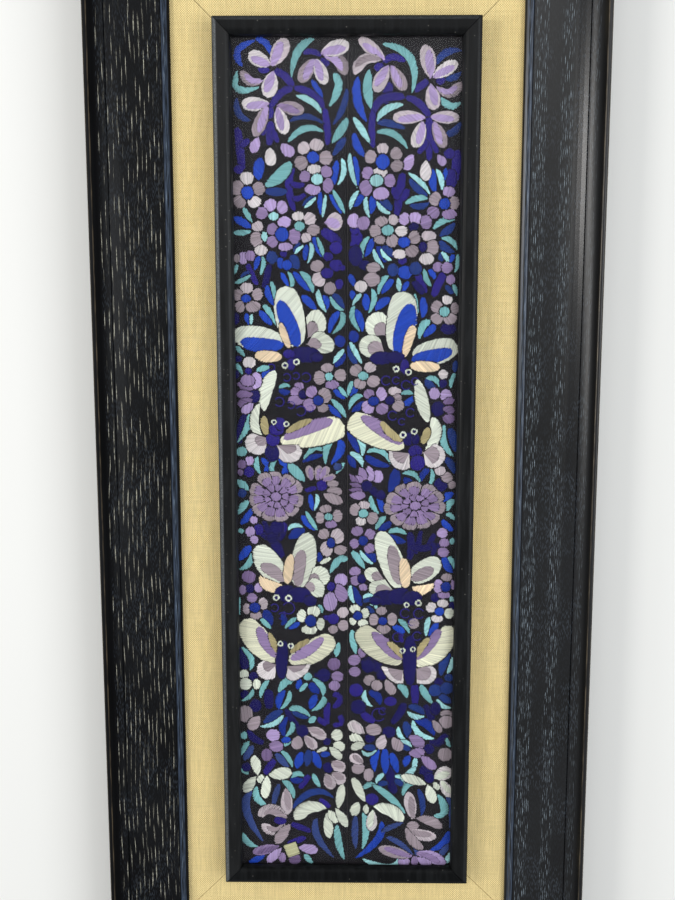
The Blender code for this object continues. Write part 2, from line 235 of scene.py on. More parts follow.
# Blossoms: the heart's shade, u, v, half width and half height, then its petals in the same way.
LEFT_BLOSSOMS = (
    (("royal", 22, 72.7, 3.7, 4), ("pale", 27.7, 67, 3.8, 3.8), ("pale", 19.7, 65, 4.3, 3.7),
     ("grey", 14, 73, 4.2, 4.3), ("grey", 29.5, 76, 4.2, 4.3), ("cream", 21.2, 80, 4.5, 3)),
    (("paqua", 19.5, 86.2, 3.6, 3.6), ("mauve", 27.2, 84.5, 3.5, 3.5), ("mauve", 13.5, 81.5, 3.6, 3.6),
     ("mauve", 12.7, 90, 3.3, 4.6), ("lilac", 22.2, 92.5, 4.8, 3.5)),
    (("royal", 63.7, 94.5, 3.8, 4.3), ("cream", 64, 85.5, 4.2, 4.2), ("grey", 70, 91.5, 4.2, 4.5),
     ("grey", 56.7, 92, 4, 4), ("grey", 68.7, 100, 4, 4), ("cream", 59.5, 100.2, 4.2, 3.5)),
    (("paqua", 47.2, 109.2, 3.2, 2.7), ("lilac", 49.2, 102.2, 3.9, 3.9), ("lilac", 41.7, 103.5, 3.4, 4.2),
     ("mauve", 54.7, 107.2, 3.9, 3.7), ("lilac", 40.5, 113, 4.2, 3.7)),
    (("royal", 42, 120.5, 4.2, 4.7), ("mauve", 48, 117.2, 3.6, 3.5), ("mauve", 48.2, 125, 3.6, 3.6),
     ("mauve", 34, 121.5, 3.8, 4.7), ("lilac", 40, 128.3, 4.3, 2.8)),
    (("paqua", 53.2, 121.8, 1.9, 3.3), ("pale", 57.5, 115.5, 3.6, 3.2), ("grey", 58.5, 123.5, 4, 4.6),
     ("cream", 55.5, 130.5, 4, 3.4)),
    (("aqua", 30.7, 115.3, 3.2, 3.2), ("cream", 31.7, 109.2, 3.7, 3), ("pale", 24.2, 110.8, 3.9, 3.9),
     ("grey", 22, 117.8, 4.2, 3.4), ("pale", 26.7, 122.5, 3.1, 3.1)),
    (("royal", 65.5, 161, 3, 2.7), ("pale", 65, 154.5, 4, 3.6), ("grey", 70.7, 158.8, 3.5, 3.5),
     ("grey", 58.2, 158.5, 3.5, 3.8), ("grey", 69.5, 166.3, 3, 3.7), ("grey", 61.2, 166.3, 4.7, 3.5)),
    (("indigo", 13.2, 145, 3.8, 3.5), ("grey", 19.5, 140.5, 4.2, 3.7), ("pale", 18.5, 149, 4.2, 4.5),
     ("grey", 11.5, 154.5, 3.8, 4)),
    (("indigo", 64.5, 208, 2.2, 2.2), ("cream", 64, 202.5, 4, 3.7), ("lilac", 59.5, 214, 3.5, 5.3),
     ("mauve", 65, 214, 4.5, 4)),
    (("navy", 29.2, 223.3, 2.5, 3), ("mauve", 31.5, 217.8, 3, 2.6), ("mauve", 34, 221.5, 3.2, 3),
     ("mauve", 33.5, 227, 5, 3)),
    (("aqua", 12, 211.5, 2.5, 2.8), ("grey", 13.2, 205.8, 4, 3), ("grey", 18.2, 212.2, 4, 4.3),
     ("grey", 4.7, 210.5, 4, 3.8), ("mauve", 10.2, 216.8, 4.3, 3)),
    (("deep", 19.2, 227.2, 3.3, 3.3), ("mauve", 23.5, 221.5, 3.8, 3.8), ("grey", 15, 224, 4.2, 4.8),
     ("mauve", 24.7, 230, 4.4, 3.9), ("grey", 16.2, 232, 3.5, 3)),
    (("aqua", 12.5, 304.8, 2.7, 2.7), ("grey", 14.5, 299.3, 4, 2.8), ("grey", 6.7, 304, 3.3, 3.9),
     ("grey", 18.2, 305.3, 3, 3.7), ("mauve", 11, 309.8, 3.7, 2.8)),
    (("deep", 11, 322.5, 2.7, 3.5), ("grey", 15.7, 316.5, 3.6, 3.6), ("pale", 6.7, 318, 4.3, 5),
     ("grey", 4.7, 327.3, 4.2, 3.2), ("pale", 14, 326.5, 4, 5)),
    (("deep", 62.2, 367.3, 3.6, 3.6), ("pale", 56.7, 364.5, 3.2, 4), ("grey", 67.7, 368, 2.6, 3.7),
     ("grey", 61.5, 372.5, 3.8, 3)),
    (("deep", 24.7, 376.5, 3.7, 4.3), ("white", 30.7, 373, 3.2, 4.4), ("white", 22.7, 370, 4.2, 4),
     ("white", 18, 378.5, 2.7, 4.2), ("white", 25.5, 382.5, 5, 3.3)),
)

# Round and oval motifs by shade: u, v, half width, half height.
LEFT_ROUNDS = {
    "indigo": (
        (52.7, 19.3, 3.8, 2.2), (14.5, 15, 3, 3.3), (69, 80, 3, 3), (7.5, 129, 4, 4), (12.5, 134.5, 3, 3),
        (7.5, 140, 4, 4), (3.5, 141.5, 2, 2), (41.2, 132.8, 2.7, 2), (5.5, 152, 2.5, 3.5),
        (65, 274.5, 3.8, 3.5), (17, 283.5, 3.7, 3.5), (59, 313.5, 3, 4), (42, 312, 1.8, 3.5),
        (11, 352.5, 2.5, 3.3), (9.5, 375, 3.7, 4), (46.5, 520, 4.5, 3),
    ),
    "navy": (
        (72, 174, 2, 4), (71, 200, 2.4, 2), (72, 210, 1.5, 3), (60.5, 224, 3.2, 5), (50.5, 319.5, 3.7, 3.4),
        (47, 312, 5, 4), (65.5, 354, 2.8, 3.5), (63.7, 415.5, 3, 3.3), (16, 414.5, 4.8, 4.5),
        (62.5, 436.5, 4, 5), (30.5, 454.5, 4.2, 4.7), (14, 462, 3, 2.5), (13.2, 481, 3.5, 4),
        (69.5, 481, 3, 3.5),
    ),
    "royal": ((43, 138.5, 2.3, 3.8), (39, 139.8, 3.2, 3.5), (42, 461, 3.3, 2.2), (15.2, 471.3, 3.7, 2)),
    "deep": ((5, 188.5, 3.8, 3.7),),
    "dkblue": ((48.5, 135, 3.5, 4.3), (69.7, 289, 2.8, 3.2)),
    "steel": ((6.5, 271, 2.7, 2.7),),
    "aqua": ((69.7, 261, 3.5, 3.5), (70.7, 314.5, 1.8, 1.8), (27, 415.5, 3, 3), (70.7, 458, 2.2, 3)),
    "lilac": (
        (67, 135.5, 2.8, 4.2), (64.5, 267.2, 2.8, 3.3), (62.2, 307, 2.7, 2.7), (64.5, 315, 3.2, 3.8),
        (62, 320.3, 3, 2.7), (4.2, 348, 4.3, 4.8), (11.5, 363, 4.6, 7), (59.5, 353.5, 2.7, 3.8),
        (50.7, 457.7, 5, 4.3),
    ),
    "mauve": (
        (62.5, 134, 3.2, 3.6), (70.2, 355, 2.3, 3.5), (64, 360.5, 3.7, 3.2), (6.7, 415.5, 4.4, 3.7),
        (8.7, 422, 3.8, 4), (48.7, 465.7, 5.2, 4), (45.2, 547.5, 2.5, 4),
    ),
    "purple": (
        (69.5, 269.5, 3, 3.2), (70.7, 275, 1.8, 2.5), (66, 346, 4.6, 4.6), (9, 406.7, 4.3, 4.7),
        (55.2, 472, 3.7, 4.9), (36.5, 548.5, 4.5, 4),
    ),
    "grey": (
        (71, 135.5, 2, 3), (9.7, 282.5, 4, 2.3), (8.5, 287.5, 5.3, 3), (2.7, 379.5, 3.9, 3.7),
        (9.7, 382.3, 3.2, 3.2), (69.5, 442.5, 5, 6.5),
    ),
    "pale": ((3, 370.5, 3.8, 4),),
    "white": ((70.2, 414, 3.4, 3.4), (69.2, 421, 4.5, 4.3), (61.5, 421.2, 2.6, 3.9), (7, 457.3, 4.3, 4),
              (5.7, 465.5, 4.4, 3.9)),
}

# Wings: shade, root u and v, first and last bearing in degrees from straight up towards the outside, bearing
# of the stitches, seven reaches at even bearings, then inner zones: shade, from share, to share, and reach
# shares at even steps between them.
LEFT_WINGS = (
    ("white", (25.5, 186), -75, 5, None, (9, 13, 15.5, 17.5, 19, 17.5, 13),
     (("grey", 0.0, 1.0, (0.5, 0.62)),)),
    ("white", (26, 190.5), -128, -30, None, (8, 15.5, 18, 16.5, 14, 12, 8),
     (("grey", 0.0, 1.0, (0.5, 0.5)),)),
    ("cream", (53, 252), 70, 175, None, (9.5, 13.5, 15, 15.2, 14, 12, 9),
     (("grey", 0.0, 1.0, (0.6, 0.4)),)),
    ("cream", (46, 257), -175, -88, None, (7.5, 11.5, 14, 16, 17, 16.5, 13),
     (("grey", 0.5, 1.0, (0.5, 0.9)),)),
    ("white", (26, 348.5), -108, -20, None, (10.5, 13.5, 14.8, 14.7, 14, 12.5, 9),
     (("grey", 0.0, 1.0, (0.5, 0.5)),)),
    ("white", (28.5, 352), -142, -42, None, (9.5, 13.8, 13.8, 13, 11.5, 9.5, 7),
     (("grey", 0.0, 1.0, (0.5, 0.5)),)),
    ("cream", (48, 407.5), 72, 172, None, (9.5, 12.5, 14, 14.5, 13.5, 11.5, 9.5),
     (("grey", 0.0, 0.6, (0.85, 0.5)),)),
    ("cream", (41.5, 408.5), -178, -84, None, (8, 10.5, 12, 12.5, 13.5, 15.5, 16.5),
     (("grey", 0.5, 1.0, (0.5, 0.85)),)),
    ("peach", (42, 352), 68, 128, 30, (18.5, 17.5, 16.5, 14.5, 12, 10, 8.5), ()),
)

# Long wings: shade, slant of the stitches in degrees, lean of the broad part towards the tip, the wing in the
# columns of BLADES, then inner zones: shade and the columns of BLADES.
LEFT_LONG_WINGS = (
    ("white", 55, -0.1, (41.5, 189, 57.8, 186.5, 74, 184.5, 15.5),
     (("royal", (41.5, 190.5, 56, 191, 69.5, 188.5, 9)),)),
    ("white", -50, -0.1, (31.8, 192, 37.2, 173.5, 39.5, 153, 18.8),
     (("royal", (32.5, 192, 37.6, 178.5, 44.5, 162.5, 10.5)),)),
    ("ivory", 50, -0.3, (44.5, 254.5, 22.5, 249.5, 2, 243.5, 17.5),
     (("mauve", (42, 252.5, 25, 244.8, 9.5, 240.5, 8.2)),)),
    ("white", 50, 0.0, (42.5, 348, 52, 337.5, 60.5, 324.5, 17),
     (("grey", (42.5, 349, 50.3, 341.5, 58.5, 339, 8.5)),)),
    ("white", -50, 0.0, (31.5, 353, 29.3, 335.5, 26, 315.5, 16.6),
     (("grey", (33, 352.5, 32.6, 339.5, 29.8, 327.5, 8.8)),)),
    ("ivory", 50, -0.15, (46.7, 404, 59.3, 392, 70, 375.5, 17.5),
     (("mauve", (47, 402, 55.2, 391.5, 59.5, 380.5, 7.6)),)),
    ("ivory", -50, -0.2, (39.7, 404.5, 24.1, 398.6, 9.5, 387.5, 15.8),
     (("mauve", (38.5, 403, 27.4, 397.5, 16.5, 388, 7.2)),)),
)
RIGHT_LONG_WINGS = (
    ("white", -55, -0.1, (41.8, 197, 56.3, 195.5, 71, 191, 16),
     (("royal", (41.8, 199.5, 54.7, 198.5, 68, 194.5, 9)),)),
    ("white", 50, -0.1, (30.5, 195.5, 34.5, 175.5, 36, 156.5, 19.5),
     (("royal", (32, 197, 37, 179.5, 41, 164.5, 12.5)),)),
    ("ivory", -50, -0.3, (37.3, 258, 19, 249.3, 0.8, 239, 17.5),
     (("mauve", (36, 255.5, 22.5, 246, 9, 237.5, 8.2)),)),
    ("white", 50, 0.0, (42.3, 347.3, 52, 341, 62, 334, 14.5),
     (("grey", (42.8, 347.5, 50.5, 343.5, 57.5, 340, 8)),)),
    ("white", -50, 0.0, (35.4, 353.3, 29, 334.5, 21, 314.5, 16),
     (("grey", (35.5, 351, 32.1, 338, 29.2, 324, 9)),)),
    ("ivory", 50, -0.15, (45.1, 405.5, 59.5, 397, 70.3, 379.5, 15.8),
     (("mauve", (45.6, 403, 54.6, 393, 62.5, 382, 7.2)),)),
    ("ivory", -50, -0.2, (36.9, 405.5, 20.5, 394.7, 7.9, 381, 16.8),
     (("mauve", (36.6, 403, 26.7, 394, 16.9, 384, 7.8)),)),
)
LONG_WINGS = {"left": LEFT_LONG_WINGS, "right": RIGHT_LONG_WINGS}

# Butterfly bodies and under wings, laid over the wings: shade, then the columns of BLADES.
LEFT_BODY_BLADES = (
    ("peach", 43.5, 176.5, 41, 185, 37.5, 193, 5), ("peach", 60.5, 197.5, 52, 198.5, 42.5, 198, 8),
    ("tan", 54.7, 237.3, 54.5, 243.5, 52.7, 249.8, 5.5), ("tan", 23.5, 239.5, 32, 243.5, 40.5, 248.5, 5),
    ("peach", 37.5, 330, 39.5, 341, 40, 351, 7), ("tan", 53, 384.5, 50, 392, 46.7, 399.5, 4.5),
    ("tan", 25.7, 389.5, 32, 393.5, 38.7, 399, 4.5), ("navy", 42.5, 390, 44.5, 404, 44, 417.5, 8.5),
)

# Bodies and heads: shade, then the columns of ROUNDS.
LEFT_BODY_ROUNDS = (
    ("navy", 27.5, 197.3, 10, 5.5), ("navy", 20, 199, 4, 3), ("indigo", 38, 197, 3.8, 3.2),
    ("indigo", 36.7, 203.5, 2.8, 4.2), ("navy", 49.7, 262, 4.8, 6), ("indigo", 49, 253, 4.6, 4.6),
    ("indigo", 46.5, 246, 4.8, 4.4), ("indigo", 44, 242.5, 3.6, 4.6), ("navy", 41.3, 357.4, 7.4, 6),
    ("navy", 32.3, 358.4, 8, 5.6), ("navy", 25, 362.5, 4.4, 4),
)

# Eyes: u, v, radius.
LEFT_EYES = (
    (40.7, 204.3, 1.9), (33.2, 202, 1.9), (48.2, 241.3, 1.6), (40, 242.8, 1.7), (47.7, 360.3, 2),
    (39.5, 360.7, 2.1), (45.2, 392.5, 1.7), (38.2, 394, 1.8),
)

# Feelers of the butterflies, in one line of thread: u, v, radius of each curl.
LEFT_CURLS = (
    (39.5, 212, 2.5), (27, 212, 3), (44.5, 228, 3), (30.5, 234, 3.2), (49, 367.3, 2.7), (39.5, 367.5, 4),
    (33.5, 211, 2.2), (37, 230, 2.4), (24.5, 232.5, 2.2), (44, 373, 2.4), (49.5, 205.5, 2.2),
)

# The right band, with the same columns
RIGHT_BLADES = {
    "indigo": (
        (22, 15, 28, 12, 36, 14.5, 4), (50, 26, 46, 29, 42, 33, 4), (26, 27, 25, 33, 23, 40, 5),
        (51, 48, 45, 40, 36, 36, 4.2), (36, 36, 22, 37, 16, 46, 5), (16, 44, 15, 56, 16, 67, 4),
        (51, 48, 51, 60, 51.5, 75, 4.5), (50, 62, 47.5, 66.5, 44, 70, 3.5), (53, 62, 54.5, 66.5, 57, 70, 3),
        (68, 68, 68.5, 80, 65, 91, 5.5), (34.5, 82, 33, 95, 31, 110, 5), (29, 91, 30, 95.5, 32, 99, 3.5),
        (38, 92, 36.5, 96, 34, 99, 4), (65, 80, 65.5, 86, 64.5, 92, 6), (5, 119, 5.5, 125, 4, 130, 7),
        (43, 144, 47, 150, 50, 158, 4), (62, 145, 58, 152, 55, 160, 5), (38, 385, 36, 388, 38, 391, 3),
        (10, 441, 14, 445, 19, 447, 5), (45.5, 421, 46, 428, 46.5, 436, 5),
    ),
    "navy": (
        (42, 150, 46, 155, 49, 158, 4), (15, 285, 18, 288, 21, 291, 4.5), (10, 408, 17, 406, 24, 414, 7),
        (39, 434, 36, 441, 30, 449, 5), (57, 460, 63, 462, 68, 456, 6), (50, 481, 54, 484, 58, 491, 7),
        (30, 480, 30, 490, 33, 500, 6), (52, 436, 56, 441, 58, 447, 5), (41, 315, 42.5, 324, 41, 334, 4.8),
        (49, 314, 47, 323, 45, 330, 3.4), (58, 316, 55, 322, 52, 328, 3.4),
        (42, 325, 51, 326, 62, 323.5, 4.2), (55, 322, 58, 326, 56, 331, 3.4),
    ),
    "royal": (
        (6.5, 23.5, 6, 38, 12, 51, 5.5), (4, 57.5, 6, 66, 12, 72.5, 4.8), (3.5, 72, 5, 80, 6.5, 90.5, 4.5),
        (54, 80, 53.5, 87, 55.5, 95, 5), (62, 79, 61.5, 83.5, 60, 88, 3), (9.5, 95, 7, 99.5, 4, 103, 4.2),
        (15, 96.5, 16, 102, 14, 108, 4.5), (16, 123, 14, 129, 11, 134.5, 4.2),
        (0.5, 146, 3, 149.5, 5, 154, 4), (68.5, 133.5, 66, 136, 64.5, 139.5, 3.2),
        (29, 148.5, 25.5, 153, 22, 158, 4.5), (39, 150, 37, 153.5, 34.5, 156.5, 3.5),
        (52, 142.5, 54.5, 145.5, 56, 149, 3.5), (2, 156, 3.5, 159.5, 5, 163, 4),
        (11.5, 158, 12, 164, 12.5, 169, 5), (27.5, 161, 22, 164, 18, 169, 5.5),
        (3.5, 167.5, 7.5, 173.5, 9.5, 182.5, 5), (48, 160, 49, 167, 48, 173.5, 5),
        (57, 178.5, 53, 181.5, 49.5, 186, 5), (6, 218, 4, 221, 1.5, 224, 4),
        (36, 229, 40, 228, 42.5, 224, 4.5), (19.5, 291.5, 22.5, 297, 23, 302, 3.8),
        (62, 294, 66, 290.5, 70.5, 289, 5), (63, 306.5, 66, 311, 70.5, 314, 4.5),
        (64, 331.5, 66, 337, 70.5, 342.5, 6), (30.5, 379.5, 35, 382, 39, 385, 4.3),
        (60.5, 377, 58, 382, 55, 387, 4.5), (22, 468, 18.5, 474, 19, 484, 5.5),
        (26, 467, 26, 476, 26, 486, 6), (30, 470, 32.5, 477, 34.5, 485, 5.5),
        (43, 472, 40.5, 476, 39.5, 480, 5), (70.5, 527, 67, 536, 57.5, 541.5, 5.5),
        (23.5, 520, 21, 534, 5, 548, 5.5),
    ),
    "deep": (
        (18.5, 128, 22, 133, 24, 138.5, 5), (10.5, 227.5, 7, 231.5, 2.5, 234.5, 4.2),
        (0, 247, 4, 254, 7.5, 262, 5), (11.5, 263.5, 18, 268, 28, 270.5, 5),
        (0.5, 263, 3, 268, 5, 272, 4.5), (31.5, 272, 31, 280, 27, 288, 7.5), (37, 278, 41, 282, 46, 284, 5),
        (54, 272.5, 50, 275.5, 49, 281, 4.5), (29, 307.5, 25, 311.5, 20, 314, 4.5),
        (28, 317, 33, 320.5, 39, 321.5, 5), (11.8, 329, 16, 331, 18, 336, 5.5),
        (3, 352, 6.5, 360, 10, 366, 5.5), (14.3, 426, 20, 429, 22, 435.5, 6),
        (45.5, 446, 54, 449, 59.5, 457.5, 6.5),
    ),
    "dkblue": (
        (54, 17.5, 61, 9.5, 71, 8.5, 4.5), (61, 25, 66, 24.5, 71, 21, 4),
        (18.5, 52, 27, 52, 36.5, 55.5, 4.5), (61.5, 58, 67, 57, 71, 51, 5), (39, 86, 44, 92, 51, 97, 4.5),
        (39.5, 102, 46, 103.3, 52, 100.5, 4), (20, 99, 25, 102, 27.5, 106, 5),
        (58.5, 121.5, 64, 118, 68, 113, 5), (58.5, 124.5, 62, 129, 68.5, 131.5, 5),
        (59, 132, 59.8, 135, 60, 138, 3.5), (22, 128, 26, 131, 29, 135, 5),
        (62.5, 153, 66, 156, 68, 158, 3.5), (0.5, 191, 3, 198, 6, 204, 5),
        (50.5, 213, 53.5, 217, 58, 219.5, 5), (70, 201, 69.8, 205, 69, 209, 3.5),
        (67, 245, 69, 252, 70.5, 261, 6), (63.5, 265.5, 68, 269, 70.5, 276, 5),
        (10, 363, 14, 361, 18, 359, 3.6), (14, 365.5, 15.5, 369, 18.5, 370.5, 4),
        (69, 398, 65, 406, 63, 415, 6), (62, 428, 67, 431.5, 71, 433, 5),
        (41.3, 436.5, 48, 438, 52.5, 442.5, 5), (39, 447, 41, 453, 40.5, 459, 5.5),
        (36.5, 463, 40, 466, 43.5, 468.5, 4.5), (33, 489, 36, 492, 38.5, 493.5, 4.5),
        (48.5, 496, 52, 506, 51, 516.5, 4.3),
    ),
    "steel": (
        (68, 500, 71.5, 510, 71, 525, 3.5), (70.5, 537, 67, 542, 63.5, 546, 4.5),
        (6, 516, 5.3, 528, 6, 541, 4.8), (46, 535, 48, 540, 48, 546, 3.5), (24, 528, 31, 524, 39, 521, 4),
        (27, 532, 36, 536, 46, 545, 4),
    ),
    "aqua": (
        (21, 4, 39, 13, 40, 34, 5), (57.5, 36, 64, 41.5, 71, 39, 4.5), (13.5, 19.5, 12.5, 32, 14.5, 43, 6),
        (18, 57.5, 29, 58.5, 38, 68, 4.2), (36.5, 101.5, 44, 98, 51, 98.5, 3.8),
        (54.5, 117.5, 60, 112.5, 68.5, 111.5, 3.8), (59.5, 123, 66, 124.5, 70, 131, 3.4),
        (70, 133, 70.5, 139, 68.5, 144.5, 3), (14, 122, 9.5, 128, 9, 138.5, 3.3),
        (26.5, 147, 22, 150.5, 19.5, 159, 3.6), (49, 142, 50.5, 149, 54, 153.5, 3.2),
        (67, 152, 69, 155, 70, 159, 2.6), (15.5, 155, 17, 162, 13, 171, 3.4),
        (4.8, 166, 2.8, 173, 8.2, 182.5, 3.6), (43.5, 158, 43.5, 165, 45.5, 171, 3.4),
        (53.5, 175, 48.5, 179, 46.5, 187, 5), (3.5, 214, 1.5, 218.5, 0.5, 224.5, 3),
        (10, 224, 4, 226, 1, 233, 4), (35, 223, 39, 221.5, 43, 223, 3.2),
        (51, 212.5, 56.5, 213, 59.5, 218, 3.5), (70, 209, 67.5, 214, 67, 219, 3),
        (12, 261.5, 22, 260.5, 29, 270, 3.6), (63.5, 243, 63, 255, 70, 264, 4.5),
        (36, 275.5, 43, 275.5, 48, 281.5, 3.2), (55, 272.5, 56, 278, 53.5, 284.5, 3),
        (15.5, 290.5, 16.5, 297, 21, 303, 3.6), (25.5, 304.5, 21.5, 308, 19, 313.5, 4),
        (27, 315.5, 33, 313.5, 39.5, 317, 3.6), (71, 293, 67, 296.5, 66, 301, 4.5),
        (65, 303, 68, 303.5, 71, 307, 3.6), (3, 328, 7, 333, 11.5, 340, 4.6),
        (67, 332, 69.5, 334.5, 71, 339.5, 3.2), (33.8, 375.5, 38.5, 378.5, 42, 385, 3.6),
        (3.2, 382.3, 4, 391, 6, 399.5, 4.7), (34, 421, 38.5, 424.5, 40.3, 430.5, 5),
        (50, 421, 53, 427.5, 57.8, 434.5, 5), (68, 459, 69, 463, 71, 465.5, 2.8),
        (11, 496.5, 15, 493.3, 20, 494.5, 4), (17, 493.5, 29, 502, 40.5, 514.5, 5),
        (45.5, 493, 40.5, 494.5, 38.2, 502, 4), (62.5, 500, 67, 512, 58.5, 516.5, 6),
        (11, 513.5, 13, 527, 10.3, 541, 4.8),
    ),
    "paqua": (
        (35, 40.5, 24, 43.5, 18.5, 51, 4.5), (3, 48, 9, 56, 14, 64, 4.2), (1.5, 70, 2, 80, 6, 91.5, 3.3),
        (38, 82.5, 46, 88, 52, 95.5, 3.3), (56, 80, 59, 86, 59.5, 93.5, 3.5),
        (7, 93.5, 3, 99, 1.5, 105, 3.3), (12, 97, 11.5, 103, 14, 110, 3),
        (18.5, 99.5, 22, 105, 27.5, 107.5, 3), (60, 131.5, 63, 135, 64, 139, 3),
        (16.5, 129.5, 19, 136.5, 23.5, 142, 3), (21, 129.5, 24, 134.5, 28.5, 137, 2.6),
        (32.5, 148, 33, 153, 33.5, 157, 3.3), (8.5, 158, 6, 161, 3, 165.5, 3),
        (1.5, 189, 5, 195.5, 9.5, 203.5, 3.3), (3.5, 247, 9.5, 255, 9.5, 264, 4.2),
        (1, 261.5, 7.5, 265, 10, 271, 3.8), (8.4, 327.3, 12, 333, 17.5, 337, 3),
        (2.5, 351.5, 2, 358, 5, 364.5, 3.3), (10.5, 360.5, 13.5, 358.3, 17.5, 358.6, 2.8),
        (14.7, 364.3, 18, 364.5, 19.5, 368, 3), (55.5, 373.5, 53.5, 379, 53, 387, 3.8),
        (69, 359, 70, 361, 70.5, 364, 3), (70.7, 401.5, 70.5, 407.5, 67.3, 413.5, 3.6),
        (12.8, 425, 11.8, 431.5, 17.5, 437, 3.4), (61.3, 431, 64.5, 436, 71, 437.3, 3.3),
        (41, 440.5, 46.5, 444, 52.5, 443.5, 3.6), (44.5, 446, 49, 456, 60, 459.5, 4),
        (35, 451, 35.5, 456.5, 40, 460, 3.4), (10, 468.3, 14.5, 471.5, 20.5, 467.5, 2.8),
        (35.5, 461.3, 41, 462.5, 44, 466, 3), (46.7, 473, 46.5, 478, 44, 483, 3.5),
        (47, 480, 44, 483.5, 40, 485, 4), (25.5, 485.5, 22, 488, 20, 492.5, 3.6),
        (32.5, 487.5, 37, 487.5, 39.5, 492, 3), (10.5, 548, 28, 554.5, 36, 547.5, 5),
        (71.5, 543, 70, 548, 66.5, 550, 4),
    ),
    "white": ((45, 213, 49, 229, 53, 241.5, 8.5), (55, 238, 57.5, 249, 51, 262, 8)),
}

RIGHT_PETALS = (
    ("pale", "lilac", 23, 13.5, 7, 0.5, 7, 0), ("grey", "pale", 21, 13.5, 4, 22.5, 7, 4.5),
    ("lilac", "pale", 25, 17, 17, 33, 8, 0), ("lilac", "grey", 27, 17.5, 36, 32, 7.5, 0),
    ("lilac", "pale", 52, 24.5, 48, 4.5, 9, 0), ("lilac", "cream", 53, 24, 68.5, 15, 7.5, 0),
    ("pale", "lilac", 52, 28.5, 54, 44, 8.5, 0), ("grey", "lilac", 55.5, 30.5, 71, 27, 6.5, 4.5),
    ("pale", "lilac", 48.5, 48, 28, 48.5, 7.5, 0), ("lilac", "pale", 52, 48, 70, 48.5, 7, 0),
    ("cream", "lilac", 47.5, 51, 42, 67, 8, 0), ("lilac", "grey", 54, 51, 61, 67, 7.5, 0),
    ("lilac", "lilac", 41.5, 71, 35.5, 80.5, 6.5, 0), ("cream", "cream", 49.5, 74.5, 49, 87.5, 7, 0),
    ("lilac", "lilac", 57, 71, 61, 78, 5, 0), ("purple", "purple", 62, 229, 69.5, 226, 4.5, 0),
    ("purple", "purple", 62, 232.5, 70, 233.5, 5, 0), ("purple", "purple", 62, 238, 70, 240, 6, 0),
    ("lilac", "lilac", 13.5, 270, 16, 281, 5.5, 0), ("mauve", "mauve", 8, 271.5, 12, 280, 5.5, 0),
    ("mauve", "mauve", 5, 277, 9.5, 281.5, 5, 0), ("purple", "purple", 1.5, 276, 7, 283, 3.5, 0),
    ("purple", "purple", 1.5, 282, 9, 285, 3.5, 0), ("purple", "purple", 1, 286.5, 10, 286.5, 3, 0),
    ("mauve", "mauve", 1.5, 290, 12, 290.5, 5.5, 0), ("grey", "grey", 26.3, 417.5, 31.5, 428.5, 6.5, 0),
    ("grey", "grey", 58.5, 446, 64, 455.5, 5, 0), ("pale", "cream", 11.5, 455.5, 0.5, 448.5, 7.5, 0),
    ("white", "white", 11, 462, 1.5, 457.5, 6, 0), ("white", "white", 12.5, 463.5, 2.3, 466.5, 5.5, 0),
    ("grey", "pale", 11, 477.5, 1.8, 472, 6.5, 0), ("pale", "pale", 25.5, 457, 21.5, 467.5, 7, 0),
    ("grey", "grey", 31.5, 458.5, 36.5, 469, 7, 0), ("mauve", "mauve", 42, 457.5, 53, 465.5, 7.5, 0),
    ("mauve", "mauve", 42, 470, 53.5, 470, 6.8, 0), ("mauve", "mauve", 51, 472, 60.5, 482, 6.5, 0),
    ("white", "white", 54.5, 493, 37, 486.5, 6.5, 0), ("white", "cream", 60, 488, 71.5, 482, 9, 0),
    ("cream", "white", 64.5, 490, 71.5, 502, 6.5, 0), ("white", "white", 55.5, 493, 59.5, 507, 7, 0),
    ("white", "white", 59.5, 491, 63, 497, 4, 0), ("grey", "pale", 45.5, 518.5, 42, 498.5, 7.5, 0),
    ("white", "white", 12.5, 506, 3.5, 488, 6, 0), ("white", "white", 8, 506, 3.5, 516, 6.5, 0),
    ("white", "cream", 17.5, 512, 16.5, 527.5, 6.8, 0), ("white", "white", 18, 509, 38.5, 520.5, 9.5, -3),
    ("grey", "grey", 47.5, 518, 66, 525, 7, -2), ("pale", "grey", 43, 526.5, 62, 531, 7.5, 1.5),
    ("grey", "grey", 40.8, 524.5, 52.8, 541, 6.5, 2), ("mauve", "grey", 45, 546.5, 21.5, 540, 7.5, 0),
    ("mauve", "lilac", 48, 543.5, 68.5, 552, 8, -1.5), ("lilac", "lilac", 49, 547, 58.5, 553.5, 6, 0),
)

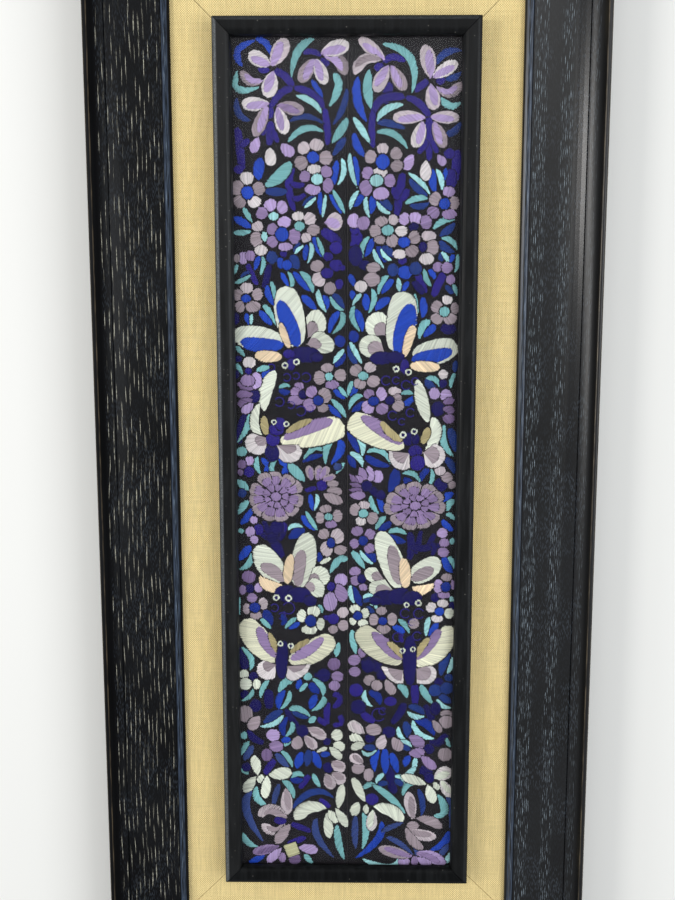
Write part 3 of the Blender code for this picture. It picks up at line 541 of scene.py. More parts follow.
RIGHT_BLOSSOMS = (
    (("royal", 22, 75.5, 4.2, 5), ("pale", 22, 67.5, 3.5, 3.5), ("grey", 14.5, 72.5, 3.8, 4),
     ("grey", 30.5, 70.5, 3.8, 3.8), ("grey", 31, 78, 4, 3.5), ("cream", 20.5, 82, 4.8, 3)),
    (("paqua", 18.2, 87, 4.2, 4), ("mauve", 12.5, 82.5, 3.5, 3.8), ("mauve", 11.5, 91.5, 4, 4.8),
     ("mauve", 26.5, 87, 3.5, 4), ("lilac", 21, 95, 5, 4)),
    (("royal", 61.5, 101.5, 3.5, 3.8), ("lilac", 64, 94, 3.8, 3.3), ("grey", 55.5, 98.5, 3.8, 4.2),
     ("grey", 67.5, 101, 3.3, 4), ("mauve", 54.5, 107, 4, 3.8), ("mauve", 64.5, 108, 4.5, 3.2)),
    (("navy", 42, 116, 3, 2.8), ("lilac", 36, 111, 3.3, 3.8), ("lilac", 43, 110.5, 3.8, 4),
     ("mauve", 49.8, 113, 3.7, 4.2)),
    (("aqua", 25.5, 118, 3.8, 3.5), ("grey", 21.5, 112.5, 4.2, 3.2), ("pale", 29, 111.5, 3.2, 3.3),
     ("grey", 17.5, 118.5, 3.8, 3.8), ("grey", 20.5, 124, 3.5, 2.8), ("grey", 28.5, 124.5, 3.8, 4),
     ("cream", 34.2, 118.5, 4, 3.2)),
    (("royal", 36, 125.5, 3.8, 3.6), ("grey", 42.5, 122.5, 3.8, 4), ("cream", 33, 133, 4, 3),
     ("grey", 41, 131, 4.2, 3.8)),
    (("navy", 48, 128.5, 2.5, 3.3), ("pale", 51.5, 121.5, 4.5, 3.3), ("grey", 54, 129, 4, 4.8),
     ("cream", 50.5, 136, 4.5, 3.8)),
    (("aqua", 10.2, 211, 3.2, 3), ("grey", 5.5, 207.5, 4, 3.8), ("pale", 14.5, 205.5, 3.8, 3.3),
     ("grey", 16.7, 214.5, 4.2, 3.8), ("grey", 8, 216, 4, 3.5)),
    (("deep", 17, 227.5, 3.5, 3.3), ("mauve", 14, 223, 3.5, 3.3), ("lilac", 22, 223, 3.5, 4.3),
     ("mauve", 22.5, 232.5, 4, 3.6), ("lilac", 13.5, 231.5, 4, 4.3)),
    (("navy", 27.5, 227, 3, 2.8), ("pale", 30.5, 221, 4, 2.8), ("grey", 32.5, 225.5, 2.8, 2.8),
     ("grey", 33, 230.5, 4, 3.5)),
    (("aqua", 62.3, 169.5, 3.2, 3.5), ("cream", 64, 162, 3.3, 3), ("grey", 57.5, 166.5, 3.8, 3.8),
     ("grey", 69, 167.5, 2.8, 3.5), ("grey", 57.5, 174, 4, 3.5), ("grey", 66, 174, 4.2, 3.5)),
    (("aqua", 10.5, 302.5, 3.2, 3), ("pale", 11, 297, 3.5, 3), ("grey", 5, 300, 3.5, 4),
     ("grey", 16.5, 305.5, 3.8, 4), ("cream", 9, 307.5, 3.3, 3.2)),
    (("deep", 10.5, 321, 3, 3.4), ("mauve", 6.5, 314.5, 3.8, 3.2), ("mauve", 15, 316.5, 3.5, 3.5),
     ("mauve", 4.7, 323, 3.1, 3.2), ("mauve", 14.7, 326, 3.7, 3.3)),
    (("deep", 65.9, 352.5, 3.3, 3.6), ("grey", 66.3, 345.8, 3.5, 2.8), ("lilac", 60.9, 352, 3.5, 4.4),
     ("mauve", 64.7, 358.2, 4, 2.3), ("mauve", 70.5, 351, 1.5, 3)),
    (("navy", 9.7, 347, 3, 3.3), ("mauve", 5.1, 342, 3.7, 3.1), ("mauve", 5.5, 348.3, 3.4, 3.2),
     ("mauve", 10.5, 352.8, 2.6, 2.6)),
    (("deep", 7, 372.7, 3, 3.2), ("white", 5.1, 368, 3.5, 3), ("white", 11.8, 370.8, 2.8, 3.5),
     ("white", 10.5, 377.7, 3.3, 2.6), ("white", 3.8, 376.5, 2.4, 2.6)),
    (("deep", 23.8, 376.3, 2.9, 3), ("grey", 23, 369.2, 3.4, 3), ("grey", 17.7, 375.4, 3.3, 4),
     ("grey", 30, 375, 3.5, 4.2), ("grey", 24.2, 382, 4.5, 3.4)),
    (("royal", 61.8, 369.6, 3, 3.1), ("cream", 56.3, 366.7, 3.6, 3.3), ("cream", 63.8, 364, 3.7, 2.8),
     ("white", 68.3, 370.8, 3.3, 3.6), ("cream", 60.3, 374.5, 3.8, 2.7)),
)

RIGHT_ROUNDS = {
    "indigo": (
        (19.5, 18, 3, 3), (58, 26, 3, 2.5), (64, 70.5, 3.3, 3.3), (4.5, 118, 3, 3), (35, 137, 3, 2.5),
        (6, 425, 4.5, 5), (29.3, 433, 4.5, 3.2), (17, 504, 4.5, 4.5),
    ),
    "navy": (
        (5, 134, 4.5, 7), (11, 140, 4, 3), (65, 180.5, 5.5, 3.5), (62, 216, 2.5, 3), (59, 232.5, 4.3, 5.3),
        (12.5, 284, 4, 3.5), (22, 290, 3, 3.5), (61.5, 283, 4.8, 4.5), (59, 360, 3, 3.5),
        (70, 365.5, 1.8, 3), (23.4, 414, 3.5, 4), (7.5, 437, 5.5, 5), (28.4, 455, 5, 4), (62, 419, 3.5, 3),
        (60, 438, 3.5, 5), (56, 467, 4, 3.5), (56.5, 488, 3.3, 4), (15.5, 459.5, 3.5, 3.3),
        (14, 408, 4.5, 5),
    ),
    "royal": ((36.8, 144.5, 4.5, 4.5),),
    "dkblue": (
        (29, 143, 3.5, 4.5), (43.5, 142, 4, 4.5), (68.8, 416, 3, 3), (59.7, 425, 4.5, 4.5),
        (67.5, 423.5, 4.5, 4.5), (15.5, 466.3, 4.5, 2.3), (24.7, 492.3, 3.6, 2),
    ),
    "deep": ((4, 185.5, 3.3, 4),),
    "aqua": ((69.5, 321, 1.5, 2.5),),
    "lilac": (
        (3.8, 112, 4, 4.8), (63, 315.5, 3.8, 3.3), (56.5, 222.5, 3.5, 4), (64, 223.5, 4, 3.8),
        (20, 277.5, 3.5, 4.5), (39.5, 550, 4, 4),
    ),
    "mauve": (
        (10, 113.5, 4, 4.5), (57.5, 141, 3, 3.5), (63.5, 141.5, 3.8, 3.5), (66, 149, 2.8, 3.5),
        (64.4, 322.3, 3.3, 3.3), (63.8, 328.7, 4, 3.3), (4.8, 403.8, 4.4, 3.8), (10, 398, 2.8, 4),
        (5, 412, 4.2, 3.5), (47, 549.5, 2.5, 4),
    ),
    "grey": (
        (16.5, 141.5, 4.8, 3.2), (15.5, 149, 5.5, 4.5), (65.5, 278, 4, 3.5), (69, 283, 2.8, 2.5),
        (44.7, 378, 4, 3.6), (15, 418, 4.2, 3.7), (20, 421.7, 3.8, 4), (18, 453.3, 5.8, 4.2),
        (67.5, 441.5, 4.5, 2.5), (67.5, 447.5, 5, 5), (67, 471, 5, 5.3), (7.5, 481.5, 4.8, 4),
        (14.7, 486, 3.3, 5.2), (45.5, 523.3, 4.5, 3.3),
    ),
    "pale": ((61, 273.5, 3.5, 3.5),),
    "cream": ((8.5, 153.5, 4, 4), (62, 210, 3.3, 3)),
    "white": ((13, 511.3, 2, 3.5),),
}

RIGHT_WINGS = (
    ("white", (24, 184.5), -92, 4, None, (10, 12.5, 14.5, 16, 16, 15.5, 12.5),
     (("grey", 0.0, 1.0, (0.55, 0.55)),)),
    ("white", (23.5, 195.5), -112, -15, None, (9, 14, 16.5, 17, 15.5, 12.5, 8.5),
     (("grey", 0.0, 1.0, (0.65, 0.65)),)),
    ("cream", (50, 261.5), 50, 172, None, (9, 12, 14, 14.5, 13.5, 12, 8),
     (("grey", 0.0, 0.75, (0.75, 0.75)),)),
    ("cream", (40.5, 262), -182, -84, None, (9.5, 12, 12.5, 13.5, 13.5, 13.5, 13),
     (("grey", 0.3, 1.0, (0.6, 0.85)),)),
    ("white", (25, 348.5), -92, -32, None, (10.3, 12.5, 14.2, 15, 14.2, 12.5, 10.5),
     (("grey", 0.0, 1.0, (0.62, 0.7)),)),
    ("white", (30, 354.5), -108, -35, None, (12.5, 15, 15.6, 15.3, 12, 10, 8.5),
     (("grey", 0.05, 0.75, (0.8, 0.55)),)),
    ("cream", (47, 410), 75, 180, None, (9.5, 13, 14.3, 14.2, 12.8, 10.8, 9.6),
     (("grey", 0.0, 1.0, (0.72, 0.76)),)),
    ("cream", (37.8, 411), -182, -78, None, (9, 9.5, 10.3, 10.8, 11.5, 13, 15),
     (("grey", 0.1, 1.0, (0.8, 0.72)),)),
    ("peach", (43, 352.5), 80, 152, 30, (14.8, 14.6, 12, 10.3, 9.3, 8.9, 7.5), ()),
)

RIGHT_BODY_BLADES = (
    ("peach", 43.5, 178.5, 40, 186, 36.5, 199, 6.5), ("peach", 60, 205.5, 50, 205, 40.5, 204, 7.5),
    ("tan", 22, 240.5, 28, 248.5, 36, 254, 5.5), ("tan", 53, 244.5, 51.5, 250, 48.5, 255.5, 5.5),
    ("peach", 37, 332.5, 38.6, 343, 38.5, 353.5, 8), ("tan", 27, 391, 33, 396, 38.5, 402.8, 5),
    ("tan", 55.5, 388, 50.5, 394, 46, 402.3, 4.8), ("navy", 42.5, 386, 42, 404, 42.5, 422, 9.5),
)

RIGHT_BODY_ROUNDS = (
    ("navy", 22, 199.5, 7.5, 4.5), ("navy", 31, 199, 6, 4), ("indigo", 37, 205, 2.8, 5),
    ("navy", 40, 252.5, 3.5, 4.5), ("navy", 44.5, 252.5, 2.5, 4), ("indigo", 44.5, 260.5, 4.5, 4.2),
    ("indigo", 46, 268.5, 4.8, 5.5), ("navy", 25.5, 360, 8.5, 5.4), ("navy", 19, 362.5, 4, 3),
    ("navy", 35, 359, 8, 6), ("navy", 43.5, 360.5, 6.5, 5.4),
)

RIGHT_EYES = (
    (31.5, 206.5, 1.9), (39.5, 208.5, 1.9), (36.3, 249.8, 2), (43.6, 247.5, 1.9), (39.7, 365, 1.7),
    (47.6, 363.8, 2), (37.2, 397, 1.8), (44.3, 396, 1.7),
)

RIGHT_CURLS = (
    (25, 214, 3), (38, 217, 3), (38.8, 370.8, 3.2), (48, 371, 3.5), (33.8, 387.5, 3.2), (47, 386.7, 3),
    (21.3, 442.5, 4.5), (24, 440, 2.5), (31.5, 214, 2.4), (44, 214.5, 2.4), (29.5, 237, 3), (41, 235, 2.8),
    (35.5, 241, 2.2), (43.5, 377, 2.4),
)

# Chrysanthemums: centre u and v, and the stretch across and down
DAISY_PLACES = {"left": (47.3, 291.2, 1.02, 0.95), "right": (44.8, 297.2, 1.11, 0.89)}

# Rings of a chrysanthemum: petal count, base radius, tip radius, petal width, turn in degrees, shade and
# the shade and tip radius of the inner zone.
DAISY_RINGS = (
    (11, 6.9, 18.4, 9.0, 8, "grey", "mauve", 14.6), (9, 3.3, 8.4, 5.2, 20, "mauve", None, 0),
)
DAISY_HEART = 3.3

# The darned patch of the left band: u, v, side length, turn in degrees
PATCH = (38.5, 541.5, 9.5, 20)

CHARTS = {
    "left": (LEFT_BLADES, LEFT_ROUNDS, LEFT_PETALS, LEFT_BLOSSOMS, LEFT_WINGS, LEFT_BODY_BLADES,
             LEFT_BODY_ROUNDS, LEFT_EYES, LEFT_CURLS),
    "right": (RIGHT_BLADES, RIGHT_ROUNDS, RIGHT_PETALS, RIGHT_BLOSSOMS, RIGHT_WINGS,
              RIGHT_BODY_BLADES, RIGHT_BODY_ROUNDS, RIGHT_EYES, RIGHT_CURLS),
}

# The plan of a band, in mm: size of its cells, its reach from the seam and past it, bare cloth round a motif
GRID = 0.13
BAND_REACH = 77.9
PAST_SEAM = 3
VOID = 0.3
STEM_VOID = 0.12
WING_VOID = 0.45

# Threads, in mm: spacing, lift over the cloth, how much lower their sides lie. Each is drawn at stations:
# share of its length, of its lift and of its width. The seeds give each band its small unevenness.
PITCH = 0.47
LIFT = 0.34
CROWN = 0.1
STATIONS = (
    (0.0, -0.2, 0.6), (0.13, 0.72, 1.0), (0.5, 1.0, 1.0), (0.87, 0.72, 1.0), (1.0, -0.2, 0.6),
)
SLANT = math.radians(42)
PETAL_SLANT = math.radians(38)
SEEDS = {"left": 7, "right": 11}

# How far the ends of the threads run past an edge, in mm: an outer edge, the edge of a shade that lies under
# another, and the edge of an inner zone
EDGE_TEETH = (-0.35, 0.45)
UNDER_TEETH = (-0.1, 0.6)
ZONE_TEETH = (-0.2, 1.4)
DAISY_ZONE_TEETH = (-0.4, 1.8)

# Forms of the motifs: width against the charted one, and fullness, which makes blunter ends the smaller it is
STEM_FORM = (1.15, 0.25)
LEAF_FORM = (1.06, 0.64)
PETAL_FORM = (1.08, 0.68)
PETAL_ZONE_FORM = (0.6, 0.55)
PETAL_ZONE_SHIFT = 0.17
ROUND_PETAL_GROWTH = 1.05
WING_FULLNESS = 0.42
ZONE_FULLNESS = 0.45
BODY_FULLNESS = 0.45
EYE_GROWTH = 1.15
PUPIL_SHARE = 0.55
PADDED_LIFT = {"eye": 0.55, "patch": 0.5}

# Curls, in mm: stitch length, width and lift
CURL_STITCH = 1.5
CURL_WIDTH = 0.85
CURL_LIFT = 0.35

# Ground silk: cells across and along, steps in mm next to the seam, and the share of the gap left at the seam
GROUND_COLUMNS = 48
GROUND_ROWS = 240
SEAM_STEPS = (0.15, 0.4, 0.8, 1.3, 2.2, 3.5, 5.0)
SEAM_SHARE = 0.3

# Width and height in metres that the OFBake map of the stitches spans
BAKE_SPAN = (0.16, 0.6)

# Rims of petals and inner zones: the paler shade of the two comes first here
RIM_ORDER = ("cream", "white", "pale", "grey", "lilac", "mauve", "purple")


def linear(colour):
    """A colour of 0 to 255 as Blender's linear one."""
    return tuple(((c / 255 + 0.055) / 1.055) ** 2.4 if c > 10 else c / 255 / 12.92 for c in colour)


def smooth_step(value, low, high):
    share = np.clip((value - low) / (high - low), 0, 1)
    return share * share * (3 - 2 * share)


def spine_of(u0, v0, um, vm, u1, v1, count=25):
    """Points on the curve from start to end through the middle point, and the way each one heads."""
    start, middle, end = np.array((u0, v0)), np.array((um, vm)), np.array((u1, v1))
    handle = 2 * middle - (start + end) / 2
    t = np.linspace(0, 1, count)[:, None]
    points = (1 - t) ** 2 * start + 2 * t * (1 - t) * handle + t**2 * end
    heading = 2 * (1 - t) * (handle - start) + 2 * t * (end - handle)
    return points, heading / np.maximum(np.linalg.norm(heading, axis=1, keepdims=True), 1e-9)


def side_of(heading):
    """The plus side of a heading: below one that points outwards."""
    return np.stack([-heading[:, 1], heading[:, 0]], 1)


def blade_outline(points, heading, width, fullness, lean=0.0):
    """A leaf or petal round a spine. Fullness under 1 makes blunter ends, and lean moves the broad part."""
    t = np.linspace(0, 1, len(points))
    swell = (4 * t ** (1 - lean) * (1 - t) ** (1 + lean)) ** fullness
    half = (width / 2 * swell / max(swell.max(), 1e-9))[:, None]
    side = side_of(heading)
    return np.concatenate([points + side * half, (points - side * half)[::-1]])


def oval_outline(u, v, half_u, half_v, count=28):
    turn = np.linspace(0, 2 * math.pi, count, endpoint=False)
    return np.stack([u + half_u * np.cos(turn), v + half_v * np.sin(turn)], 1)


def petal_round(u, v, half_u, half_v, heart_u, heart_v, count=32):
    """A blossom's petal: an oval, a little narrower towards the heart."""
    outline = oval_outline(0, 0, half_u, half_v, count)
    away = np.array((u - heart_u, v - heart_v))
    away = away / max(np.linalg.norm(away), 1e-9)
    along = outline @ away / max(half_u, half_v)
    across = outline - (outline @ away)[:, None] * away
    outline = outline + across * (0.1 * along)[:, None]
    return outline + (u, v)


def bearing(degrees):
    angle = np.radians(degrees)
    return np.stack([np.sin(angle), -np.cos(angle)], -1)


def wing_outline(root, first, last, reaches, from_share=0.0, to_share=1.0, shares=(1.0, 1.0), count=36):
    """A wing as a fan from its root, or the part of it between two shares of its spread."""
    share = np.linspace(from_share, to_share, count)
    reach = np.interp(share, np.linspace(0, 1, len(reaches)), reaches)
    for _ in range(3):
        reach[1:-1] = (reach[:-2] + 2 * reach[1:-1] + reach[2:]) / 4
    reach = reach * np.interp(share, np.linspace(from_share, to_share, len(shares)), shares)
    points = np.array(root) + reach[:, None] * bearing(first + share * (last - first))
    return np.concatenate([[root], points])


class Chart:
    """One band's plan: which motif owns each small cell of cloth, and how each motif is stitched."""

    def __init__(self, seed):
        self.columns = int((BAND_REACH + PAST_SEAM) / GRID)
        self.rows = int((BAND_HEIGHT / MM + 2) / GRID)
        self.top = -(BAND_HIGH.y - SIGHT_TOP) / MM
        self.cells = np.zeros((self.rows, self.columns), np.int16)
        self.motifs = [None]
        self.random = np.random.default_rng(seed)

    def cover(self, outline, grow):
        """The cells within an outline grown by so much: their row and column slices, and a mask."""
        low, high = outline.min(0) - grow - GRID, outline.max(0) + grow + GRID
        c0, c1 = (int(np.clip((x + PAST_SEAM) / GRID, 0, self.columns)) for x in (low[0], high[0]))
        r0, r1 = (int(np.clip((y - self.top) / GRID, 0, self.rows)) for y in (low[1], high[1]))
        rows, columns = slice(r0, r1), slice(c0, c1)
        u = (np.arange(c0, c1) + 0.5) * GRID - PAST_SEAM
        v = (np.arange(r0, r1) + 0.5) * GRID + self.top
        u, v = np.meshgrid(u, v)
        inside = np.zeros(u.shape, bool)
        near = np.full(u.shape, 1e9)
        for start, end in zip(outline, np.roll(outline, -1, 0)):
            step = end - start
            length = float(step @ step)
            if length < 1e-12:
                continue
            if abs(step[1]) > 1e-9:
                crosses = (start[1] > v) != (end[1] > v)
                inside ^= crosses & (u < start[0] + (v - start[1]) * step[0] / step[1])
            if grow > 0:
                t = np.clip(((u - start[0]) * step[0] + (v - start[1]) * step[1]) / length, 0, 1)
                away = (u - start[0] - t * step[0]) ** 2 + (v - start[1] - t * step[1]) ** 2
                near = np.minimum(near, away)
        return rows, columns, inside | (near < grow * grow)

    def paint(self, outline, shade, way, group, grow=VOID, lift=LIFT, teeth=EDGE_TEETH):
        """Gives the cells in an outline to a new motif, with a bare line of cloth left round it."""
        if grow > 0:
            rows, columns, mask = self.cover(outline, grow)
            self.cells[rows, columns][mask] = 0
        rows, columns, mask = self.cover(outline, 0)
        self.cells[rows, columns][mask] = len(self.motifs)
        tone = float(self.random.normal(0, 0.07))
        self.motifs.append((outline, shade, way, group, lift, tone, teeth))

    def owner(self, points):
        """The motif that owns each point."""
        column = ((points[..., 0] + PAST_SEAM) / GRID).astype(int)
        row = ((points[..., 1] - self.top) / GRID).astype(int)
        known = (column >= 0) & (column < self.columns) & (row >= 0) & (row < self.rows)
        found = self.cells[row.clip(0, self.rows - 1), column.clip(0, self.columns - 1)]
        return np.where(known, found, -1)


def parallel_lines(outline, angle, random):
    """Satin lines at one angle over an outline: starts, headings and the longest run of each."""
    heading = np.array((math.cos(angle), math.sin(angle)))
    side = np.array((-heading[1], heading[0]))
    across, along = outline @ side, outline @ heading
    offsets = np.arange(across.min() + PITCH / 2, across.max(), PITCH)
    offsets = offsets + random.uniform(-0.05, 0.05, len(offsets))
    middle = (along.min() + along.max()) / 2
    half = (along.max() - along.min()) / 2 + 0.6
    turn = random.normal(0, 0.2 * PITCH / half, len(offsets))
    headings = np.stack([np.cos(angle + turn), np.sin(angle + turn)], 1)
    centres = offsets[:, None] * side + middle * heading
    return centres, headings, np.full(len(offsets), half), None


def fan_lines(outline, focus, random):
    """Satin lines that fan out from a focus over an outline."""
    focus = np.array(focus, float)
    away = outline - focus
    radius = np.linalg.norm(away, axis=1)
    middle = outline.mean(0) - focus
    main = math.atan2(middle[1], middle[0])
    turn = (np.arctan2(away[:, 1], away[:, 0]) - main + math.pi) % (2 * math.pi) - math.pi
    turn = turn[radius > 0.15 * radius.max()]
    step = PITCH / (0.72 * radius.max())
    angles = np.arange(turn.min(), turn.max(), step) + main
    angles = angles + random.uniform(-0.12, 0.12, len(angles)) * step
    headings = np.stack([np.cos(angles), np.sin(angles)], 1)
    reach = radius.max() + 0.4
    return focus + headings * reach / 2, headings, np.full(len(angles), reach / 2), (focus, step)


def slanted_lines(spine, heading, width, slant, random):
    """Satin lines slanted across a curved spine, and a few more past its ends."""
    lengths = np.concatenate([[0], np.cumsum(np.linalg.norm(np.diff(spine, axis=0), axis=1))])
    step = PITCH / abs(math.sin(slant))
    extra = width / 2 / abs(math.tan(slant))
    places = np.arange(-extra, lengths[-1] + extra, step)
    places = places + random.uniform(-0.06, 0.06, len(places))
    inner = places.clip(0, lengths[-1])
    centres = np.stack([np.interp(inner, lengths, spine[:, k]) for k in (0, 1)], 1)
    along = np.stack([np.interp(inner, lengths, heading[:, k]) for k in (0, 1)], 1)
    along = along / np.linalg.norm(along, axis=1, keepdims=True)
    centres = centres + along * (places - inner)[:, None]
    turn = slant + random.normal(0, min(0.03, 0.12 * PITCH / width), len(places))
    cosine, sine = np.cos(turn)[:, None], np.sin(turn)[:, None]
    headings = along * cosine + side_of(along) * sine
    half = width / 2 / abs(math.sin(slant)) + 1.0
    return centres, headings, np.full(len(places), half), None


def runs_of(chart, number, motif):
    """The stitches of one motif: start, end, width at each, lift and tone, one row each."""
    outline, _, (kind, *facts), _, lift, tone, spread = motif
    random = chart.random
    if kind == "parallel":
        centres, headings, halves, fan = parallel_lines(outline, facts[0], random)
    elif kind == "fan":
        centres, headings, halves, fan = fan_lines(outline, facts[0], random)
    else:
        centres, headings, halves, fan = slanted_lines(*facts, random)
    if len(centres) == 0:
        return np.zeros((0, 9))
    longest = halves.max()
    places = np.arange(-longest, longest, 0.11)
    points = centres[:, None] + headings[:, None] * places[None, :, None]
    mine = chart.owner(points) == number
    mine[:, 0] = mine[:, -1] = False
    change = np.diff(mine.astype(np.int8), axis=1)
    line, start = np.nonzero(change == 1)
    _, end = np.nonzero(change == -1)
    first, last = places[start + 1], places[end]
    teeth = random.uniform(*spread, (2, len(centres)))
    first, last = first - teeth[0][line], last + teeth[1][line]
    keep = last - first > 0.5
    line, first, last = line[keep], first[keep], last[keep]
    begin = centres[line] + headings[line] * first[:, None]
    finish = centres[line] + headings[line] * last[:, None]
    if fan is None:
        wide = np.full((len(line), 2), PITCH * 1.2)
    else:
        focus, step = fan
        wide = np.stack([np.linalg.norm(p - focus, axis=1) for p in (begin, finish)], 1) * step * 1.1
        wide = wide.clip(0.2, 0.68)
    reach = np.linalg.norm(finish - begin, axis=1)
    raised = lift * (0.6 + 0.4 * np.clip(reach / 4, 0, 1)) * random.uniform(0.88, 1.06, len(line))
    streaks = random.normal(0, 0.1, len(centres))
    shades = tone + streaks[line] + random.normal(0, 0.04, len(line))
    return np.concatenate([begin, finish, wide, raised[:, None], shades[:, None]], 1)


def paint_petal(chart, row):
    """A long petal: a pale rim all round, and an inner zone that leans to one side."""
    plus, minus, u0, v0, u1, v1, width, bend = row
    ahead = np.array((u1 - u0, v1 - v0))
    side = np.array((-ahead[1], ahead[0])) / np.linalg.norm(ahead)
    middle = np.array((u0 + u1, v0 + v1)) / 2 + side * bend
    spine, heading = spine_of(u0, v0, *middle, u1, v1)
    slant = PETAL_SLANT if chart.random.random() < 0.7 else -PETAL_SLANT
    way = ("slanted", spine, heading, width, slant)
    rim, zone = sorted((plus, minus), key=RIM_ORDER.index)
    under = UNDER_TEETH if plus != minus else EDGE_TEETH
    outline = blade_outline(spine, heading, width * PETAL_FORM[0], PETAL_FORM[1], -0.15)
    chart.paint(outline, rim, way, "orchids", teeth=under)
    if plus != minus:
        shift = (PETAL_ZONE_SHIFT if zone == plus else -PETAL_ZONE_SHIFT) * width
        inner = spine[:21] + side_of(heading)[:21] * shift * np.linspace(0, 1, 21)[:, None]
        outline = blade_outline(inner, heading[:21], width * PETAL_ZONE_FORM[0], PETAL_ZONE_FORM[1], -0.1)
        chart.paint(outline, zone, way, "orchids", grow=0, teeth=ZONE_TEETH)


def paint_wing(chart, row):
    """A wing and its zones. Its stitches fan out from the root, or lie one way at a bearing."""
    base, root, first, last, stitch, reaches, zones = row
    way = ("fan", root) if stitch is None else ("parallel", math.radians(stitch - 90))
    outline = wing_outline(root, first, last, reaches)
    chart.paint(outline, base, way, "butterflies", grow=WING_VOID, teeth=UNDER_TEETH)
    for shade, start, end, shares in zones:
        zone = wing_outline(root, first, last, reaches, start, end, shares)
        chart.paint(zone, shade, way, "butterflies", grow=0, teeth=ZONE_TEETH)


def paint_long_wing(chart, row):
    """A wing laid along a spine, blunt at the tip, and its zones along one edge."""
    base, slant, lean, blade, zones = row
    spine, heading = spine_of(*blade[:6])
    way = ("slanted", spine, heading, blade[6] * 1.1, math.radians(slant))
    outline = blade_outline(spine, heading, blade[6], WING_FULLNESS, lean)
    chart.paint(outline, base, way, "butterflies", grow=WING_VOID, teeth=UNDER_TEETH)
    for shade, zone in zones:
        inner, inner_heading = spine_of(*zone[:6])
        outline = blade_outline(inner, inner_heading, zone[6], ZONE_FULLNESS)
        chart.paint(outline, shade, way, "butterflies", grow=0, teeth=ZONE_TEETH)


def paint_daisy(chart, u, v, across, down):
    """A chrysanthemum: rings of blunt petals round a heart, the outer ones in two shades."""
    for count, base, tip, width, turned, shade, zone_shade, zone_tip in DAISY_RINGS:
        for k in range(count):
            turn = 2 * math.pi * (k + chart.random.uniform(-0.12, 0.12)) / count + math.radians(turned)
            way = np.array((math.cos(turn), math.sin(turn)))

            def petal(reach, wide, fullness):
                ends = [way * r for r in (base, (base + reach) / 2, reach)]
                spine, heading = spine_of(*ends[0], *ends[1], *ends[2])
                return blade_outline(spine, heading, wide, fullness, -0.4) * (across, down) + (u, v)

            stitches = ("fan", (u, v))
            rim = petal(tip + chart.random.uniform(-0.6, 0.6), width, 0.66)
            chart.paint(rim, shade, stitches, "blossoms", grow=0.42)
            if zone_shade:
                zone = petal(zone_tip, width * 0.7, 0.6)
                chart.paint(zone, zone_shade, stitches, "blossoms", grow=0, teeth=DAISY_ZONE_TEETH)
    heart = oval_outline(u, v, DAISY_HEART * across, DAISY_HEART * down)
    chart.paint(heart, "mauve", ("parallel", 1.2), "blossoms")


def plan_band(side, seed):
    """Lays out all the motifs of a band, from the stems up to the eyes."""
    chart = Chart(seed)
    blades, rounds, petals, blossoms, wings, body_blades, body_rounds, eyes, _ = CHARTS[side]
    for shade, rows in blades.items():
        stem = shade in ("indigo", "navy")
        swell, fullness = STEM_FORM if stem else LEAF_FORM
        group = "butterflies" if shade == "white" else "stems" if stem else "leaves"
        for *curve, width in rows:
            spine, heading = spine_of(*curve)
            outline = blade_outline(spine, heading, width * swell, fullness, 0.1)
            slant = SLANT if chart.random.random() < 0.6 else -SLANT
            way = ("slanted", spine, heading, width, slant)
            chart.paint(outline, shade, way, group, STEM_VOID if stem else VOID)
    for shade, rows in rounds.items():
        for u, v, half_u, half_v in rows:
            stem = shade in ("indigo", "navy")
            angle = (math.pi / 2 if half_v >= half_u else 0.0) + chart.random.uniform(-0.3, 0.3)
            outline = oval_outline(u, v, half_u, half_v)
            group = "stems" if stem else "blossoms"
            chart.paint(outline, shade, ("parallel", angle), group, STEM_VOID if stem else VOID)
    for row in petals:
        paint_petal(chart, row)
    for heart, *round_petals in blossoms:
        _, heart_u, heart_v, _, _ = heart
        for shade, u, v, half_u, half_v in round_petals:
            half_u, half_v = half_u * ROUND_PETAL_GROWTH, half_v * ROUND_PETAL_GROWTH
            outline = petal_round(u, v, half_u, half_v, heart_u, heart_v)
            focus = np.array((heart_u, heart_v)) * 1.8 - np.array((u, v)) * 0.8
            chart.paint(outline, shade, ("fan", focus), "blossoms")
        shade, u, v, half_u, half_v = heart
        chart.paint(oval_outline(u, v, half_u, half_v), shade, ("parallel", 1.5), "blossoms")
    paint_daisy(chart, *DAISY_PLACES[side])
    if side == "left":
        u, v, length, turned = PATCH
        turn = math.radians(turned) + np.radians((45, 135, 225, 315))
        corners = length * 0.707 * np.stack([np.cos(turn), np.sin(turn)], 1)
        way = ("parallel", math.radians(turned))
        chart.paint(corners + (u, v), "olive", way, "orchids", lift=PADDED_LIFT["patch"])
    for row in LONG_WINGS[side]:
        paint_long_wing(chart, row)
    for row in wings:
        paint_wing(chart, row)
    for shade, *curve, width in body_blades:
        spine, heading = spine_of(*curve)
        outline = blade_outline(spine, heading, width, BODY_FULLNESS)
        chart.paint(outline, shade, ("slanted", spine, heading, width, SLANT), "butterflies")
    for shade, u, v, half_u, half_v in body_rounds:
        chart.paint(oval_outline(u, v, half_u, half_v), shade, ("parallel", 1.3), "butterflies", grow=0.2)
    for u, v, radius in eyes:
        white, pupil = radius * EYE_GROWTH, radius * PUPIL_SHARE
        way = ("parallel", 1.5)
        chart.paint(oval_outline(u, v, white, white), "white", way, "butterflies", 0.1, PADDED_LIFT["eye"])
        chart.paint(oval_outline(u, v, pupil, pupil), "navy", way, "butterflies", 0.05)
    return chart


